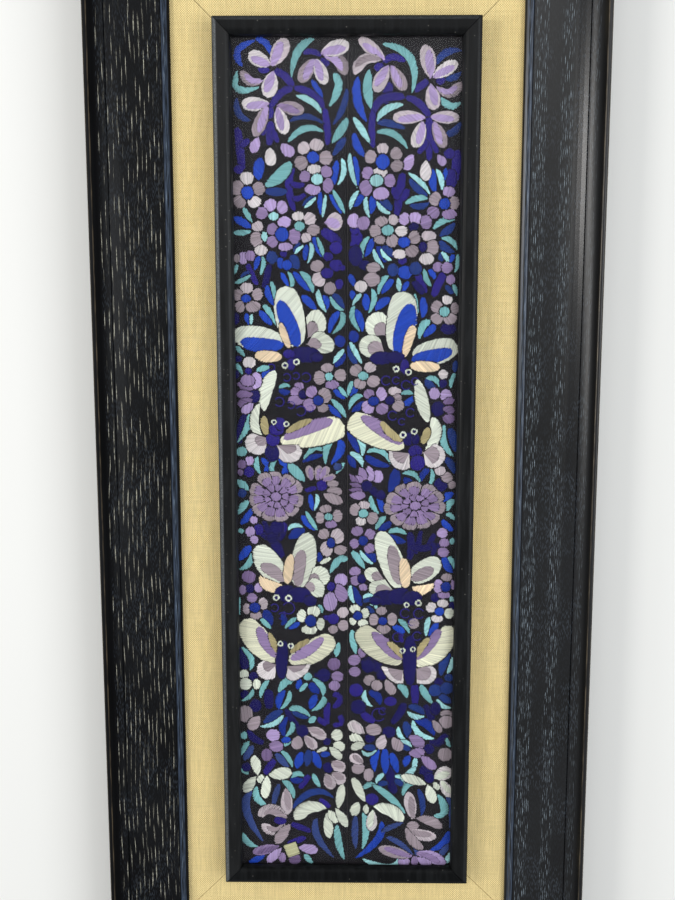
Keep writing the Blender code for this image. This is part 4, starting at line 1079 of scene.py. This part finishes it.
def curl_runs(side, random):
    """The feelers: short stitches end to end round small circles."""
    made = []
    for u, v, radius in CHARTS[side][-1]:
        count = max(8, int(2 * math.pi * radius / CURL_STITCH))
        turn = np.linspace(0.6, 2 * math.pi * 0.92, count + 1)
        points = np.stack([u + radius * np.cos(turn), v + radius * np.sin(turn)], 1)
        wide = np.full((count, 2), CURL_WIDTH)
        raised = np.full((count, 1), CURL_LIFT)
        tones = random.normal(0, 0.05, (count, 1))
        made.append(np.concatenate([points[:-1], points[1:], wide, raised, tones], 1))
    return np.concatenate(made)


def cloth_height(u, v):
    """Height of the ground silk over the mount board, in mm: soft ripples, and a turned edge at the seam."""
    ripple = 0.045 * np.sin(u * 0.21 + 0.7 * np.sin(v * 0.031)) + 0.04 * np.sin(v * 0.083 + u * 0.06)
    turned = 0.35 * (1 - smooth_step(u, 0.1, 1.5))
    return 0.5 + ripple - turned


def band_place(side, u, v, height):
    """Chart millimetres of a band as metres in the part's frame."""
    out = -1 if side == "left" else 1
    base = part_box("silk_band_" + side)[0].z
    return np.stack([SEAM_X + out * u * MM, SIGHT_TOP - v * MM, base + height * MM], -1)


def fill_mesh(name, points, quads, looks=None):
    """A mesh object from arrays of points and quads, smooth, in the scene's own collection."""
    mesh = bpy.data.meshes.new(name)
    mesh.vertices.add(len(points))
    mesh.vertices.foreach_set("co", np.ascontiguousarray(points, np.float32).ravel())
    mesh.loops.add(quads.size)
    mesh.loops.foreach_set("vertex_index", np.ascontiguousarray(quads, np.int32).ravel())
    mesh.polygons.add(len(quads))
    mesh.polygons.foreach_set("loop_start", np.arange(0, quads.size, 4, dtype=np.int32))
    mesh.polygons.foreach_set("use_smooth", np.ones(len(quads), bool))
    if looks is not None:
        mesh.polygons.foreach_set("material_index", np.ascontiguousarray(looks, np.int32))
    mesh.update(calc_edges=True)
    mesh.validate()
    piece = bpy.data.objects.new(name, mesh)
    bpy.context.scene.collection.objects.link(piece)
    return piece


def shell_quads(rows, columns, flip):
    """Quads of a thin closed sheet: its face, its back, and its four edges."""
    row, column = np.meshgrid(np.arange(rows), np.arange(columns), indexing="ij")
    first = (row * (columns + 1) + column).ravel()
    face = np.stack([first, first + columns + 1, first + columns + 2, first + 1], 1)
    below = (rows + 1) * (columns + 1)
    back = face[:, ::-1] + below
    down = np.arange(rows) * (columns + 1)
    over = np.arange(columns)
    edges = []
    for start, step, ahead in (
        (down, columns + 1, True),
        (down + columns, columns + 1, False),
        (over, 1, False),
        (over + rows * (columns + 1), 1, True),
    ):
        wall = np.stack([start, start + below, start + step + below, start + step], 1)
        edges.append(wall if ahead else wall[:, ::-1])
    quads = np.concatenate([face, back, *edges])
    return quads[:, ::-1] if flip else quads


def stitch_piece(name, side, runs):
    """One joined mesh of arched threads, by shade. Each thread dips into the cloth at both ends."""
    threads = np.concatenate(list(runs.values()))
    looks = np.concatenate([np.full(len(found), k) for k, found in enumerate(runs.values())])
    begin, finish = threads[:, 0:2], threads[:, 2:4]
    wide, lift, tones = threads[:, 4:6], threads[:, 6], threads[:, 7]
    ahead = finish - begin
    reach = np.linalg.norm(ahead, axis=1, keepdims=True)
    ahead = ahead / reach
    aside = np.stack([-ahead[:, 1], ahead[:, 0]], 1)
    points, strands = [], []
    for share, rise, narrow in STATIONS:
        centre = begin + (finish - begin) * share
        half = (wide[:, :1] * (1 - share) + wide[:, 1:] * share) / 2 * narrow
        for k, across in enumerate((-1, 0, 1)):
            place = centre + aside * half * across
            height = cloth_height(place[:, 0], place[:, 1]) + 0.03 + lift * rise - CROWN * abs(across)
            points.append(band_place(side, place[:, 0], place[:, 1], height))
            strands.append(np.stack([share * reach[:, 0], np.full(len(threads), k / 2)], 1))
    count = len(STATIONS) * 3
    points = np.stack(points, 1)
    strands = np.stack(strands, 1)
    corners = []
    for station in range(len(STATIONS) - 1):
        for k in (0, 1):
            here = station * 3 + k
            ring = (here, here + 3, here + 4, here + 1)
            corners.append(ring if side == "right" else ring[::-1])
    corners = np.array(corners)[:, ::-1]
    quads = np.arange(len(threads))[:, None, None] * count + corners[None]
    piece = fill_mesh(name, points.reshape(-1, 3), quads.reshape(-1, 4), np.repeat(looks, len(corners)))
    mesh = piece.data
    order = quads.reshape(-1)
    flat = points.reshape(-1, 3)
    bake = flat[:, :2] / BAKE_SPAN + 0.5
    mesh.uv_layers.new(name="OFBake").data.foreach_set("uv", bake[order].astype(np.float32).ravel())
    strand = strands.reshape(-1, 2)[order]
    mesh.uv_layers.new(name="strand").data.foreach_set("uv", strand.astype(np.float32).ravel())
    tone = mesh.attributes.new("tone", "FLOAT", "POINT")
    tone.data.foreach_set("value", np.repeat(tones, count).astype(np.float32))
    for shade in runs:
        mesh.materials.append(thread_material(shade))
    return piece


def node(tree, kind, values=None, **settings):
    """A shader node with its settings. Values go to its inputs, by name or number, as sockets or numbers."""
    made = tree.nodes.new("ShaderNode" + kind)
    for name, value in settings.items():
        setattr(made, name, value)
    for key, value in (values or {}).items():
        if isinstance(value, bpy.types.NodeSocket):
            tree.links.new(value, made.inputs[key])
        else:
            made.inputs[key].default_value = value
    return made


def maths(tree, operation, first, second=0.0, third=0.0):
    return node(tree, "Math", {0: first, 1: second, 2: third}, operation=operation).outputs[0]


def ramp(tree, value, low, high, out_low=0.0, out_high=1.0):
    """A value eased from one range into another."""
    made = node(tree, "MapRange", {0: value, 1: low, 2: high, 3: out_low, 4: out_high})
    made.interpolation_type = "SMOOTHSTEP"
    return made.outputs[0]


def mixed(tree, share, first, second):
    """Two colours mixed by a share."""
    made = tree.nodes.new("ShaderNodeMix")
    made.data_type = "RGBA"
    for key, value in ((0, share), (6, first), (7, second)):
        if isinstance(value, bpy.types.NodeSocket):
            tree.links.new(value, made.inputs[key])
        else:
            made.inputs[key].default_value = value if key == 0 else (*value, 1)
    return made.outputs[2]


def noise(tree, place, scale, detail=3.0, rough=0.55):
    values = {"Vector": place, "Scale": scale, "Detail": detail, "Roughness": rough}
    return node(tree, "TexNoise", values).outputs[0]


def scaled(colour, share):
    return tuple(part * share for part in colour)


def between(tree, value, low, high, soft):
    """One inside a range of a value and nothing outside it, with soft ends."""
    rising = ramp(tree, value, low - soft, low + soft)
    return maths(tree, "MULTIPLY", rising, ramp(tree, value, high - soft, high + soft, 1.0, 0.0))


def stretched(tree, place, x, y, z):
    """Texture places stretched by an amount along each axis."""
    return node(tree, "Mapping", {"Vector": place, "Scale": (x, y, z)}).outputs[0]


def new_material(name, roughness, specular=0.5):
    """A material with a plain shader, and its tree, shader and places in the part's frame."""
    material = bpy.data.materials.new(name)
    material.use_nodes = True
    tree = material.node_tree
    shader = tree.nodes["Principled BSDF"]
    shader.inputs["Roughness"].default_value = roughness
    shader.inputs["Specular IOR Level"].default_value = specular
    place = node(tree, "TexCoord").outputs["Object"]
    return material, tree, shader, place


def bump(tree, shader, height, distance, strength=1.0):
    made = node(tree, "Bump", {"Height": height, "Distance": distance, "Strength": strength})
    tree.links.new(made.outputs[0], shader.inputs["Normal"])


def thread_material(shade):
    """Floss silk of one shade: each thread has its own tone, with fine fibres along it."""
    name = "silk_thread_" + shade
    if name in bpy.data.materials:
        return bpy.data.materials[name]
    material, tree, shader, _ = new_material(name, 0.46, 0.16)
    colour = tuple(getattr(bpy.context.scene.silk_shades, shade))
    tone = node(tree, "Attribute", attribute_name="tone").outputs["Fac"]
    strand = node(tree, "UVMap", uv_map="strand").outputs[0]
    fibres = noise(tree, stretched(tree, strand, 0.25, 7.0, 1.0), 3.0, 2.0)
    value = maths(tree, "ADD", maths(tree, "ADD", tone, 1.0), ramp(tree, fibres, 0.3, 0.7, -0.09, 0.09))
    base = node(tree, "HueSaturation", {"Value": value, "Color": (*colour, 1)}).outputs[0]
    tree.links.new(base, shader.inputs["Base Color"])
    tree.links.new(ramp(tree, fibres, 0.3, 0.7, 0.4, 0.54), shader.inputs["Roughness"])
    shader.inputs["Sheen Weight"].default_value = 0.03
    shader.inputs["Sheen Roughness"].default_value = 0.4
    bump(tree, shader, fibres, 0.00006)
    return material


def ground_material(colour):
    """Dark satin of the ground: fine ribs one way, a slow unevenness, and dust in the weave."""
    material, tree, shader, place = new_material("ground_silk", 0.62, 0.14)
    ribs = node(tree, "TexWave", {"Vector": place, "Scale": 520.0, "Distortion": 1.5, "Detail": 1.0})
    ribs.bands_direction = "Y"
    uneven = noise(tree, place, 160.0, 4.0)
    worn = noise(tree, stretched(tree, place, 900.0, 2500.0, 1.0), 1.0, 2.0)
    dark = mixed(tree, ramp(tree, uneven, 0.35, 0.7), colour, scaled(colour, 1.7))
    dust = mixed(tree, ramp(tree, worn, 0.62, 0.8, 0.0, 0.1), dark, linear((96, 94, 96)))
    tree.links.new(dust, shader.inputs["Base Color"])
    bump(tree, shader, ribs.outputs[1], 0.00008)
    return material


def oak_material(side, colour, settings):
    """Limed black oak of one rail, with its grain along the rail, painted shade in its cove and painted light
    on its bead.
    """
    ring_gap, bands, pore_size, pore_colour, pore_share, fine_share, waver, wear, gloss = settings
    specular, roughness = gloss
    material, tree, shader, place = new_material("limed_oak_" + side, roughness, specular)
    split = node(tree, "SeparateXYZ", {0: place})
    upright = side in ("left", "right")
    across, along = (split.outputs[0], split.outputs[1]) if upright else (split.outputs[1], split.outputs[0])
    half = OUTER_HALF_WIDTH if upright else OUTER_HALF_HEIGHT
    sign = -1 if side in ("right", "top") else 1
    inward = maths(tree, "MULTIPLY_ADD", across, sign / MM, half / MM)
    length = maths(tree, "MULTIPLY", along, 1 / MM)
    flat = node(tree, "CombineXYZ", {0: inward, 1: length}).outputs[0]
    slow = noise(tree, stretched(tree, flat, 0.014, 0.009, 1.0), 1.0, 2.0)
    quick = noise(tree, stretched(tree, flat, 0.05, 0.025, 1.0), 1.0, 2.0)
    drift = maths(tree, "MULTIPLY_ADD", slow, waver, maths(tree, "ADD", inward, -waver / 2))
    drift = maths(tree, "MULTIPLY_ADD", quick, 1.2, drift)
    grain = node(tree, "CombineXYZ", {0: drift, 1: length}).outputs[0]
    ring = maths(tree, "PINGPONG", drift, ring_gap / 2)
    line = ramp(tree, ring, 0.12, min(0.27 * ring_gap, 0.48), 1.0, 0.0)

    def pores(width, reach, low, high, rare):
        lengthened = stretched(tree, grain, 1 / width, 1 / reach, 1.0)
        cells = node(tree, "TexVoronoi", {"Vector": lengthened, "Scale": 1.0}, voronoi_dimensions="2D")
        spindle = ramp(tree, cells.outputs["Distance"], low, high, 1.0, 0.0)
        chance = node(tree, "SeparateColor", {0: cells.outputs["Color"]}).outputs[0]
        return maths(tree, "MULTIPLY", spindle, ramp(tree, chance, rare, rare + 0.3))

    def zone(name, soft):
        return between(tree, inward, *OAK_ZONES[name], soft)

    banded = 0.0
    for low, high, share in bands:
        banded = maths(tree, "MULTIPLY_ADD", between(tree, drift, low, high, 0.8), share, banded)
    field = zone("pored", 0.5)
    lined = maths(tree, "MULTIPLY", line, banded)
    large = maths(tree, "MULTIPLY", pores(*pore_size, 0.16, 0.36, 0.12), lined)
    broken = ramp(tree, noise(tree, stretched(tree, flat, 1.6, 0.4, 1.0), 1.0, 2.0), 0.36, 0.56, 0.25, 1.0)
    large = maths(tree, "MULTIPLY", large, broken)
    large = maths(tree, "MULTIPLY", large, maths(tree, "MULTIPLY", field, pore_share))
    patchy = ramp(tree, quick, 0.4, 0.6, 0.15, 1.0)
    fine = maths(tree, "MULTIPLY", pores(*FINE_PORE, 0.2, 0.36, 0.25), patchy)
    fine = maths(tree, "MULTIPLY", fine, maths(tree, "MULTIPLY", field, fine_share))
    rub = noise(tree, stretched(tree, flat, 1.6, 0.07, 1.0), 1.0, 4.0)
    top_edge = ramp(tree, split.outputs[2], *RIM_HEIGHTS)
    rim = maths(tree, "MULTIPLY", ramp(tree, inward, 0.2, 1.1, 1.0, 0.0), top_edge)
    edge = maths(tree, "ADD", rim, zone("rim_inner_edge", 0.25))
    edge = maths(tree, "MULTIPLY", edge, ramp(tree, rub, 0.38, 0.62, 0.1, wear))
    # Painted reflection: the inner bead is tinted blue grey, as if it mirrored a window, broken up by noise
    bead = maths(tree, "MULTIPLY", zone("bead", 0.4), ramp(tree, rub, 0.35, 0.6, 0.15, 0.95))
    # Painted highlight: pale blue flecks along the crest of the bead
    bead_glint_mask = maths(tree, "MULTIPLY", zone("bead_crest", 0.3), ramp(tree, rub, 0.56, 0.68, 0.0, 0.8))
    finish = mixed(tree, ramp(tree, slow, 0.35, 0.65), scaled(colour, 0.6), scaled(colour, 1.2))
    for share, tone in (
        # Painted shade: the steep cove next to the rim is darkened nearly to black
        (maths(tree, "MULTIPLY", zone("cove_shade", 0.8), 0.75), OAK_TONES["cove_shade"]),
        (fine, OAK_TONES["fine_pores"]),
        (large, pore_colour),
        (edge, OAK_TONES["worn"]),
        (bead, OAK_TONES["bead"]),
        (bead_glint_mask, OAK_TONES["bead_glint"]),
    ):
        finish = mixed(tree, share, finish, linear(tone))
    tree.links.new(finish, shader.inputs["Base Color"])
    polished = ramp(tree, zone("polished", 2.5), 0.0, 1.0, roughness, roughness * 0.68)
    tree.links.new(maths(tree, "MULTIPLY_ADD", large, 0.2, polished), shader.inputs["Roughness"])
    bump(tree, shader, maths(tree, "ADD", large, maths(tree, "MULTIPLY", fine, 0.5)), 0.00012, -0.6)
    return material


def linen_material(colour):
    """Unbleached linen over the liner bars: plain weave with slubs both ways."""
    material, tree, shader, place = new_material("liner_linen", 0.85, 0.15)
    split = node(tree, "SeparateXYZ", {0: place})
    wobble = noise(tree, place, 90.0, 2.0)

    def threads(value, push):
        moved = maths(tree, "MULTIPLY_ADD", wobble, 0.0006 * push, value)
        return maths(tree, "SINE", maths(tree, "MULTIPLY", moved, math.pi / LINEN_THREAD))

    weft, warp = threads(split.outputs[0], 1.0), threads(split.outputs[1], -1.0)
    over = maths(tree, "MULTIPLY", weft, warp)
    slub_up = noise(tree, stretched(tree, place, 1300.0, 55.0, 200.0), 1.0, 3.0)
    slub_across = noise(tree, stretched(tree, place, 55.0, 1300.0, 200.0), 1.0, 3.0)
    slubs = maths(tree, "MULTIPLY_ADD", slub_up, 1.3, maths(tree, "MULTIPLY", slub_across, 0.7))
    height = maths(tree, "MULTIPLY_ADD", over, 0.6, slubs)
    lit = mixed(tree, ramp(tree, slubs, 0.7, 1.3), scaled(colour, 0.97), scaled(colour, 1.2))
    shaded = mixed(tree, ramp(tree, over, -0.7, 0.0, 0.95, 0.0), lit, scaled(colour, 0.36))
    stain = ramp(tree, noise(tree, place, 14.0, 3.0), 0.4, 0.75, 0.0, 0.25)
    red, green, blue = colour
    stained = mixed(tree, stain, shaded, (red, green * 0.93, blue * 0.8))
    tree.links.new(stained, shader.inputs["Base Color"])
    bump(tree, shader, height, 0.00016)
    return material


def inner_material(side, colour, specular, shoulder_highlight_share):
    """Satin black of one inner rail, rubbed and speckled, with a painted highlight on its outer shoulder."""
    material, tree, shader, place = new_material("inner_frame_black_" + side, 0.42, specular)
    specks = node(tree, "TexVoronoi", {"Vector": place, "Scale": 420.0})
    chance = node(tree, "SeparateColor", {0: specks.outputs["Color"]}).outputs[0]
    speck = maths(tree, "MULTIPLY", ramp(tree, specks.outputs["Distance"], 0.05, 0.22, 1.0, 0.0),
                  ramp(tree, chance, 0.86, 0.95))
    rubbed = noise(tree, stretched(tree, place, 300.0, 30.0, 300.0), 1.0, 4.0)
    dark = mixed(tree, ramp(tree, rubbed, 0.4, 0.7), colour, scaled(colour, 2.2))
    dotted = mixed(tree, maths(tree, "MULTIPLY", speck, 0.6), dark, linear((120, 118, 112)))
    axis = 0 if side in ("left", "right") else 1
    across = node(tree, "SeparateXYZ", {0: place}).outputs[axis]
    low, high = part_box("inner_rail_" + side)
    sign, edge = (-1, high[axis]) if side in ("right", "top") else (1, -low[axis])
    inward = maths(tree, "MULTIPLY_ADD", across, sign / MM, edge / MM)
    # Painted highlight: a grey band along the outer shoulder, broken up by grit, strongest on the side facing
    # the light
    shoulder_highlight = maths(tree, "MULTIPLY", ramp(tree, inward, 0.2, 0.9), ramp(tree, inward, 2.2, 3.4, 1.0, 0.0))
    grit = noise(tree, place, 1500.0, 2.0)
    shoulder_highlight = maths(tree, "MULTIPLY", shoulder_highlight, ramp(tree, grit, 0.35, 0.65, 0.35 * shoulder_highlight_share, shoulder_highlight_share))
    highlighted = mixed(tree, shoulder_highlight, dotted, linear((108, 112, 114)))
    tree.links.new(highlighted, shader.inputs["Base Color"])
    tree.links.new(ramp(tree, rubbed, 0.3, 0.7, 0.3, 0.48), shader.inputs["Roughness"])
    bump(tree, shader, rubbed, 0.00005)
    return material


def board_material(name, colour, fibre, roughness):
    """Pressed board or card: fibres in two tones, with a soft tooth."""
    material, tree, shader, place = new_material(name, roughness, 0.25)
    fibres = noise(tree, stretched(tree, place, fibre, fibre * 0.7, fibre), 1.0, 5.0, 0.7)
    cloud = noise(tree, place, 9.0, 3.0)
    tone = mixed(tree, ramp(tree, fibres, 0.3, 0.7), scaled(colour, 0.78), scaled(colour, 1.12))
    aged = mixed(tree, ramp(tree, cloud, 0.4, 0.7, 0.0, 0.3), tone, scaled(colour, 0.7))
    tree.links.new(aged, shader.inputs["Base Color"])
    bump(tree, shader, fibres, 0.0001)
    return material


def glass_material():
    """Thin picture glass: clear, with a weak reflection and a faint haze."""
    material, tree, shader, _ = new_material("picture_glass", 0.1)
    tree.nodes.remove(shader)
    output = tree.nodes["Material Output"]
    clear = node(tree, "BsdfTransparent", {"Color": (0.985, 0.99, 0.988, 1)}).outputs[0]
    gloss = node(tree, "BsdfAnisotropic", {"Color": (1, 1, 1, 1), "Roughness": 0.16}).outputs[0]
    share = node(tree, "Fresnel", {"IOR": 1.16}).outputs[0]
    pane = node(tree, "MixShader", {0: share, 1: clear, 2: gloss}).outputs[0]
    tree.links.new(pane, output.inputs["Surface"])
    return material


def cover(name, material):
    """Gives a CAD node its material."""
    materials = bpy.data.objects[name].data.materials
    materials.clear()
    materials.append(material)


# Oak by side: spacing of the pore lines in mm, bands across the rail that have them (from, to, share), pore
# width and length in mm, pore colour, pore and fine pore strength, waver in mm, wear of the rim, gloss and
# roughness
OAK_SIDES = {
    "left": (2.7, ((6.5, 46.0, 1.0),), (0.55, 20.0), (190, 187, 170), 1.0, 0.3, 5.0, 0.75, (0.08, 0.48)),
    "right": (1.2, ((37.0, 45.5, 1.0), (21.5, 28.5, 0.9), (6.0, 11.0, 0.35)),
              (0.4, 9.0), (140, 154, 164), 1.0, 0.4, 4.0, 0.85, (0.38, 0.31)),
    "top": (4.2, ((6.5, 46.0, 1.0),), (0.5, 13.0), (166, 168, 164), 0.95, 0.3, 6.0, 0.7, (0.12, 0.45)),
    "bottom": (4.0, ((6.5, 46.0, 1.0),), (0.5, 13.0), (170, 171, 164), 0.95, 0.3, 6.0, 0.7, (0.1, 0.45)),
}
# Zones across an outer rail, in mm from its outer edge
OAK_ZONES = {
    "rim_inner_edge": (2.6, 3.1),
    "cove_shade": (4.4, 8.5),
    "pored": (6.5, 45.4),
    "polished": (11.5, 19.0),
    "bead": (46.2, 49.6),
    "bead_crest": (47.2, 48.6),
}
# Shades of the oak apart from its stain: painted shade for the cove, fine pores, rim wear, and the painted
# reflection and highlight on the bead
OAK_TONES = {
    "cove_shade": (4, 4, 6),
    "fine_pores": (84, 94, 106),
    "worn": (100, 88, 70),
    "bead": (62, 74, 92),
    "bead_glint": (128, 142, 156),
}
# Width and length of the finest pores in mm, and the heights in metres between which the rim's wear sets in
FINE_PORE = (0.42, 4.0)
RIM_HEIGHTS = (0.0362, 0.0374)
# Spacing of the liner's threads, in metres
LINEN_THREAD = 0.00072
# Inner rails by side: gloss, and the strength of the painted highlight on the outer shoulder
INNER_SIDES = {"top": (0.1, 0.25), "left": (0.22, 0.85), "bottom": (0.06, 0.05), "right": (0.14, 0.12)}
SIDES = ("top", "left", "bottom", "right")
STITCH_GROUPS = ("stems", "leaves", "blossoms", "orchids", "butterflies")

# Camera fitted to the inner frame's corners: place in metres, turns in degrees, focal length in mm
CAMERA_PLACE = (0.0044, 0.1347, 0.769)
CAMERA_TURNS = (9.08, -0.78, -0.10)
CAMERA_LENS = 46.0

# Lights: name, place, aim, width, height, power, colour
LIGHTS = (
    ("window_left", (-1.15, 0.35, 1.35), (0.0, 0.02, 0.0), 0.34, 0.42, 8.5, (1.0, 0.98, 0.95)),
    ("window_low", (-1.6, 0.0, 1.0), (0.1, 0.1, 0.0), 0.3, 0.5, 6.0, (1.0, 0.99, 0.97)),
    ("window_right", (1.2, 0.1, 1.5), (0.0, 0.0, 0.0), 0.9, 1.1, 15.5, (0.96, 0.98, 1.0)),
    ("ceiling", (0.0, 0.95, 2.0), (0.0, 0.3, 0.0), 1.6, 1.1, 8.0, (1.0, 1.0, 1.0)),
)
# Colour and strength of the light from all round
ROOM_LIGHT = ((0.96, 0.98, 1.0, 1.0), 0.5)


def colour_property(name, description, colour):
    """A colour that a user can change, from one of 0 to 255."""
    return bpy.props.FloatVectorProperty(
        name=name, description=description, subtype="COLOR", size=3, min=0.0, max=1.0, default=linear(colour)
    )


class SilkShades(bpy.types.PropertyGroup):
    """Shades of the floss silk."""

    __annotations__ = {
        shade: colour_property(shade.capitalize(), use, colour) for shade, (colour, use) in SHADES.items()
    }


class PanelSettings(bpy.types.PropertyGroup):
    """Colours and sizes of the frame and the cloth."""

    ground_colour: colour_property("Ground silk", "Dark satin under the stitches", (22, 20, 24))
    oak_colour: colour_property("Black oak", "Stain of the outer rails", (15, 16, 18))
    linen_colour: colour_property("Linen", "Cloth over the liner bars", (232, 210, 150))
    inner_colour: colour_property("Inner black", "Satin paint of the inner rails", (12, 13, 14))
    mount_colour: colour_property("Mount board", "Card that the silk lies on", (206, 200, 186))
    backing_colour: colour_property("Backing board", "Board that closes the back", (118, 88, 58))
    floor_colour: colour_property("Floor", "Pale surface under the panel", (233, 233, 230))
    floor_reach: bpy.props.FloatProperty(
        name="Floor reach", description="Half width of the floor", unit="LENGTH", default=4.0, min=1.0
    )


class SILK_OT_stage(bpy.types.Operator):
    """Lay the floor, set the lights and place the camera"""

    bl_idname = "silk_panel.stage"
    bl_label = "Stage, lights and camera"

    def execute(self, context):
        settings = context.scene.silk_panel
        reach = settings.floor_reach
        corners = np.array([(x * reach, y * reach, 0) for x, y in ((-1, -1), (1, -1), (1, 1), (-1, 1))])
        floor = fill_mesh("floor", corners, np.array([[0, 1, 2, 3]]))
        material, tree, shader, place = new_material("floor_paper", 0.9, 0.1)
        tint = noise(tree, place, 3.0, 3.0)
        pale = tuple(settings.floor_colour)
        tree.links.new(mixed(tree, tint, pale, scaled(pale, 0.97)), shader.inputs["Base Color"])
        floor.data.materials.append(material)
        for name, place, aim, width, height, power, colour in LIGHTS:
            light = bpy.data.lights.new(name, "AREA")
            light.shape, light.size, light.size_y = "RECTANGLE", width, height
            light.energy, light.color = power, colour
            lamp = bpy.data.objects.new(name, light)
            lamp.location = place
            lamp.rotation_mode = "QUATERNION"
            lamp.rotation_quaternion = (Vector(aim) - Vector(place)).to_track_quat("-Z", "Y")
            context.scene.collection.objects.link(lamp)
        world = bpy.data.worlds.new("room")
        world.use_nodes = True
        colour, strength = world.node_tree.nodes["Background"].inputs[:2]
        colour.default_value, strength.default_value = ROOM_LIGHT
        context.scene.world = world
        data = bpy.data.cameras.new("camera")
        data.lens, data.sensor_width, data.clip_start = CAMERA_LENS, 36.0, 0.01
        camera = bpy.data.objects.new("camera", data)
        x, y, z = (Matrix.Rotation(math.radians(t), 3, axis) for t, axis in zip(CAMERA_TURNS, "XYZ"))
        camera.matrix_world = Matrix.Translation(CAMERA_PLACE) @ (z @ y @ x).transposed().to_4x4()
        context.scene.collection.objects.link(camera)
        context.scene.camera = camera
        context.scene.view_settings.view_transform = "Standard"
        return {"FINISHED"}


class SILK_OT_outer_frame(bpy.types.Operator):
    """Finish the outer rails in limed black oak"""

    bl_idname = "silk_panel.outer_frame"
    bl_label = "Outer oak rails"

    def execute(self, context):
        colour = tuple(context.scene.silk_panel.oak_colour)
        for side, settings in OAK_SIDES.items():
            cover("outer_rail_" + side, oak_material(side, colour, settings))
        return {"FINISHED"}


class SILK_OT_liner(bpy.types.Operator):
    """Cover the liner bars in linen"""

    bl_idname = "silk_panel.liner"
    bl_label = "Linen liner"

    def execute(self, context):
        linen = linen_material(tuple(context.scene.silk_panel.linen_colour))
        for side in SIDES:
            cover("liner_bar_" + side, linen)
        return {"FINISHED"}


class SILK_OT_inner_frame(bpy.types.Operator):
    """Finish the slim inner rails in satin black"""

    bl_idname = "silk_panel.inner_frame"
    bl_label = "Inner rails"

    def execute(self, context):
        colour = tuple(context.scene.silk_panel.inner_colour)
        for side, finish in INNER_SIDES.items():
            cover("inner_rail_" + side, inner_material(side, colour, *finish))
        return {"FINISHED"}


class SILK_OT_glass_and_boards(bpy.types.Operator):
    """Finish the glass, the mount board and the backing board"""

    bl_idname = "silk_panel.glass_and_boards"
    bl_label = "Glass and boards"

    def execute(self, context):
        settings = context.scene.silk_panel
        cover("glass_pane", glass_material())
        cover("mount_board", board_material("mount_card", tuple(settings.mount_colour), 900.0, 0.85))
        cover("backing_board", board_material("brown_hardboard", tuple(settings.backing_colour), 700.0, 0.7))
        return {"FINISHED"}


class SILK_OT_ground(bpy.types.Operator):
    """Lay the two bands of dark silk on the mount board"""

    bl_idname = "silk_panel.ground"
    bl_label = "Ground silk"

    def execute(self, context):
        material = ground_material(tuple(context.scene.silk_panel.ground_colour))
        for side in ("left", "right"):
            low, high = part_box("silk_band_" + side)
            start = SEAM_SHARE * abs((high.x if side == "left" else low.x) - SEAM_X) / MM
            end = abs((low.x if side == "left" else high.x) - SEAM_X) / MM
            u = np.linspace(start, end, GROUND_COLUMNS + 1)
            u[1:len(SEAM_STEPS) + 1] = start + np.array(SEAM_STEPS)
            v = np.linspace((SIGHT_TOP - high.y) / MM, (SIGHT_TOP - low.y) / MM, GROUND_ROWS + 1)
            u, v = np.meshgrid(u, v)
            top = band_place(side, u, v, cloth_height(u, v))
            under = top.copy()
            under[..., 2] = low.z
            points = np.concatenate([top.reshape(-1, 3), under.reshape(-1, 3)])
            quads = shell_quads(GROUND_ROWS, GROUND_COLUMNS, side == "left")
            piece = fill_mesh("ground_silk_" + side, points, quads)
            piece.data.materials.append(material)
            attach(piece, "root")
            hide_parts("silk_band_" + side)
        return {"FINISHED"}


class SILK_OT_embroidery(bpy.types.Operator):
    """Stitch the flowers, leaves, stems and butterflies of both bands"""

    bl_idname = "silk_panel.embroidery"
    bl_label = "Embroidery"

    def execute(self, context):
        for side, seed in SEEDS.items():
            chart = plan_band(side, seed)
            sewn = {group: {} for group in STITCH_GROUPS}
            for number, motif in enumerate(chart.motifs):
                if motif:
                    sewn[motif[3]].setdefault(motif[1], []).append(runs_of(chart, number, motif))
            sewn["stems"]["indigo"].append(curl_runs(side, chart.random))
            for group, by_shade in sewn.items():
                runs = {shade: np.concatenate(found) for shade, found in by_shade.items()}
                piece = stitch_piece(f"stitched_{group}_{side}", side, runs)
                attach(piece, "root")
        return {"FINISHED"}


OPERATORS = (
    SILK_OT_stage,
    SILK_OT_outer_frame,
    SILK_OT_liner,
    SILK_OT_inner_frame,
    SILK_OT_glass_and_boards,
    SILK_OT_ground,
    SILK_OT_embroidery,
)


class SILK_PT_panel(bpy.types.Panel):
    """Sizes, colours and steps of the silk panel"""

    bl_idname = "SILK_PT_panel"
    bl_label = "Silk panel"
    bl_space_type = "VIEW_3D"
    bl_region_type = "UI"
    bl_category = "Silk panel"

    def draw(self, context):
        layout = self.layout
        for group in (context.scene.silk_panel, context.scene.silk_shades):
            for name in type(group).__annotations__:
                layout.prop(group, name)
        for step in OPERATORS:
            layout.operator(step.bl_idname)


CLASSES = (SilkShades, PanelSettings, *OPERATORS, SILK_PT_panel)


def register():
    for kind in CLASSES:
        bpy.utils.register_class(kind)
    bpy.types.Scene.silk_shades = bpy.props.PointerProperty(type=SilkShades)
    bpy.types.Scene.silk_panel = bpy.props.PointerProperty(type=PanelSettings)


def unregister():
    del bpy.types.Scene.silk_panel
    del bpy.types.Scene.silk_shades
    for kind in reversed(CLASSES):
        bpy.utils.unregister_class(kind)


def main():
    register()
    for step in OPERATORS:
        group, name = step.bl_idname.split(".")
        getattr(getattr(bpy.ops, group), name)()
    bpy.context.view_layer.update()


if __name__ == "__main__":
    main()
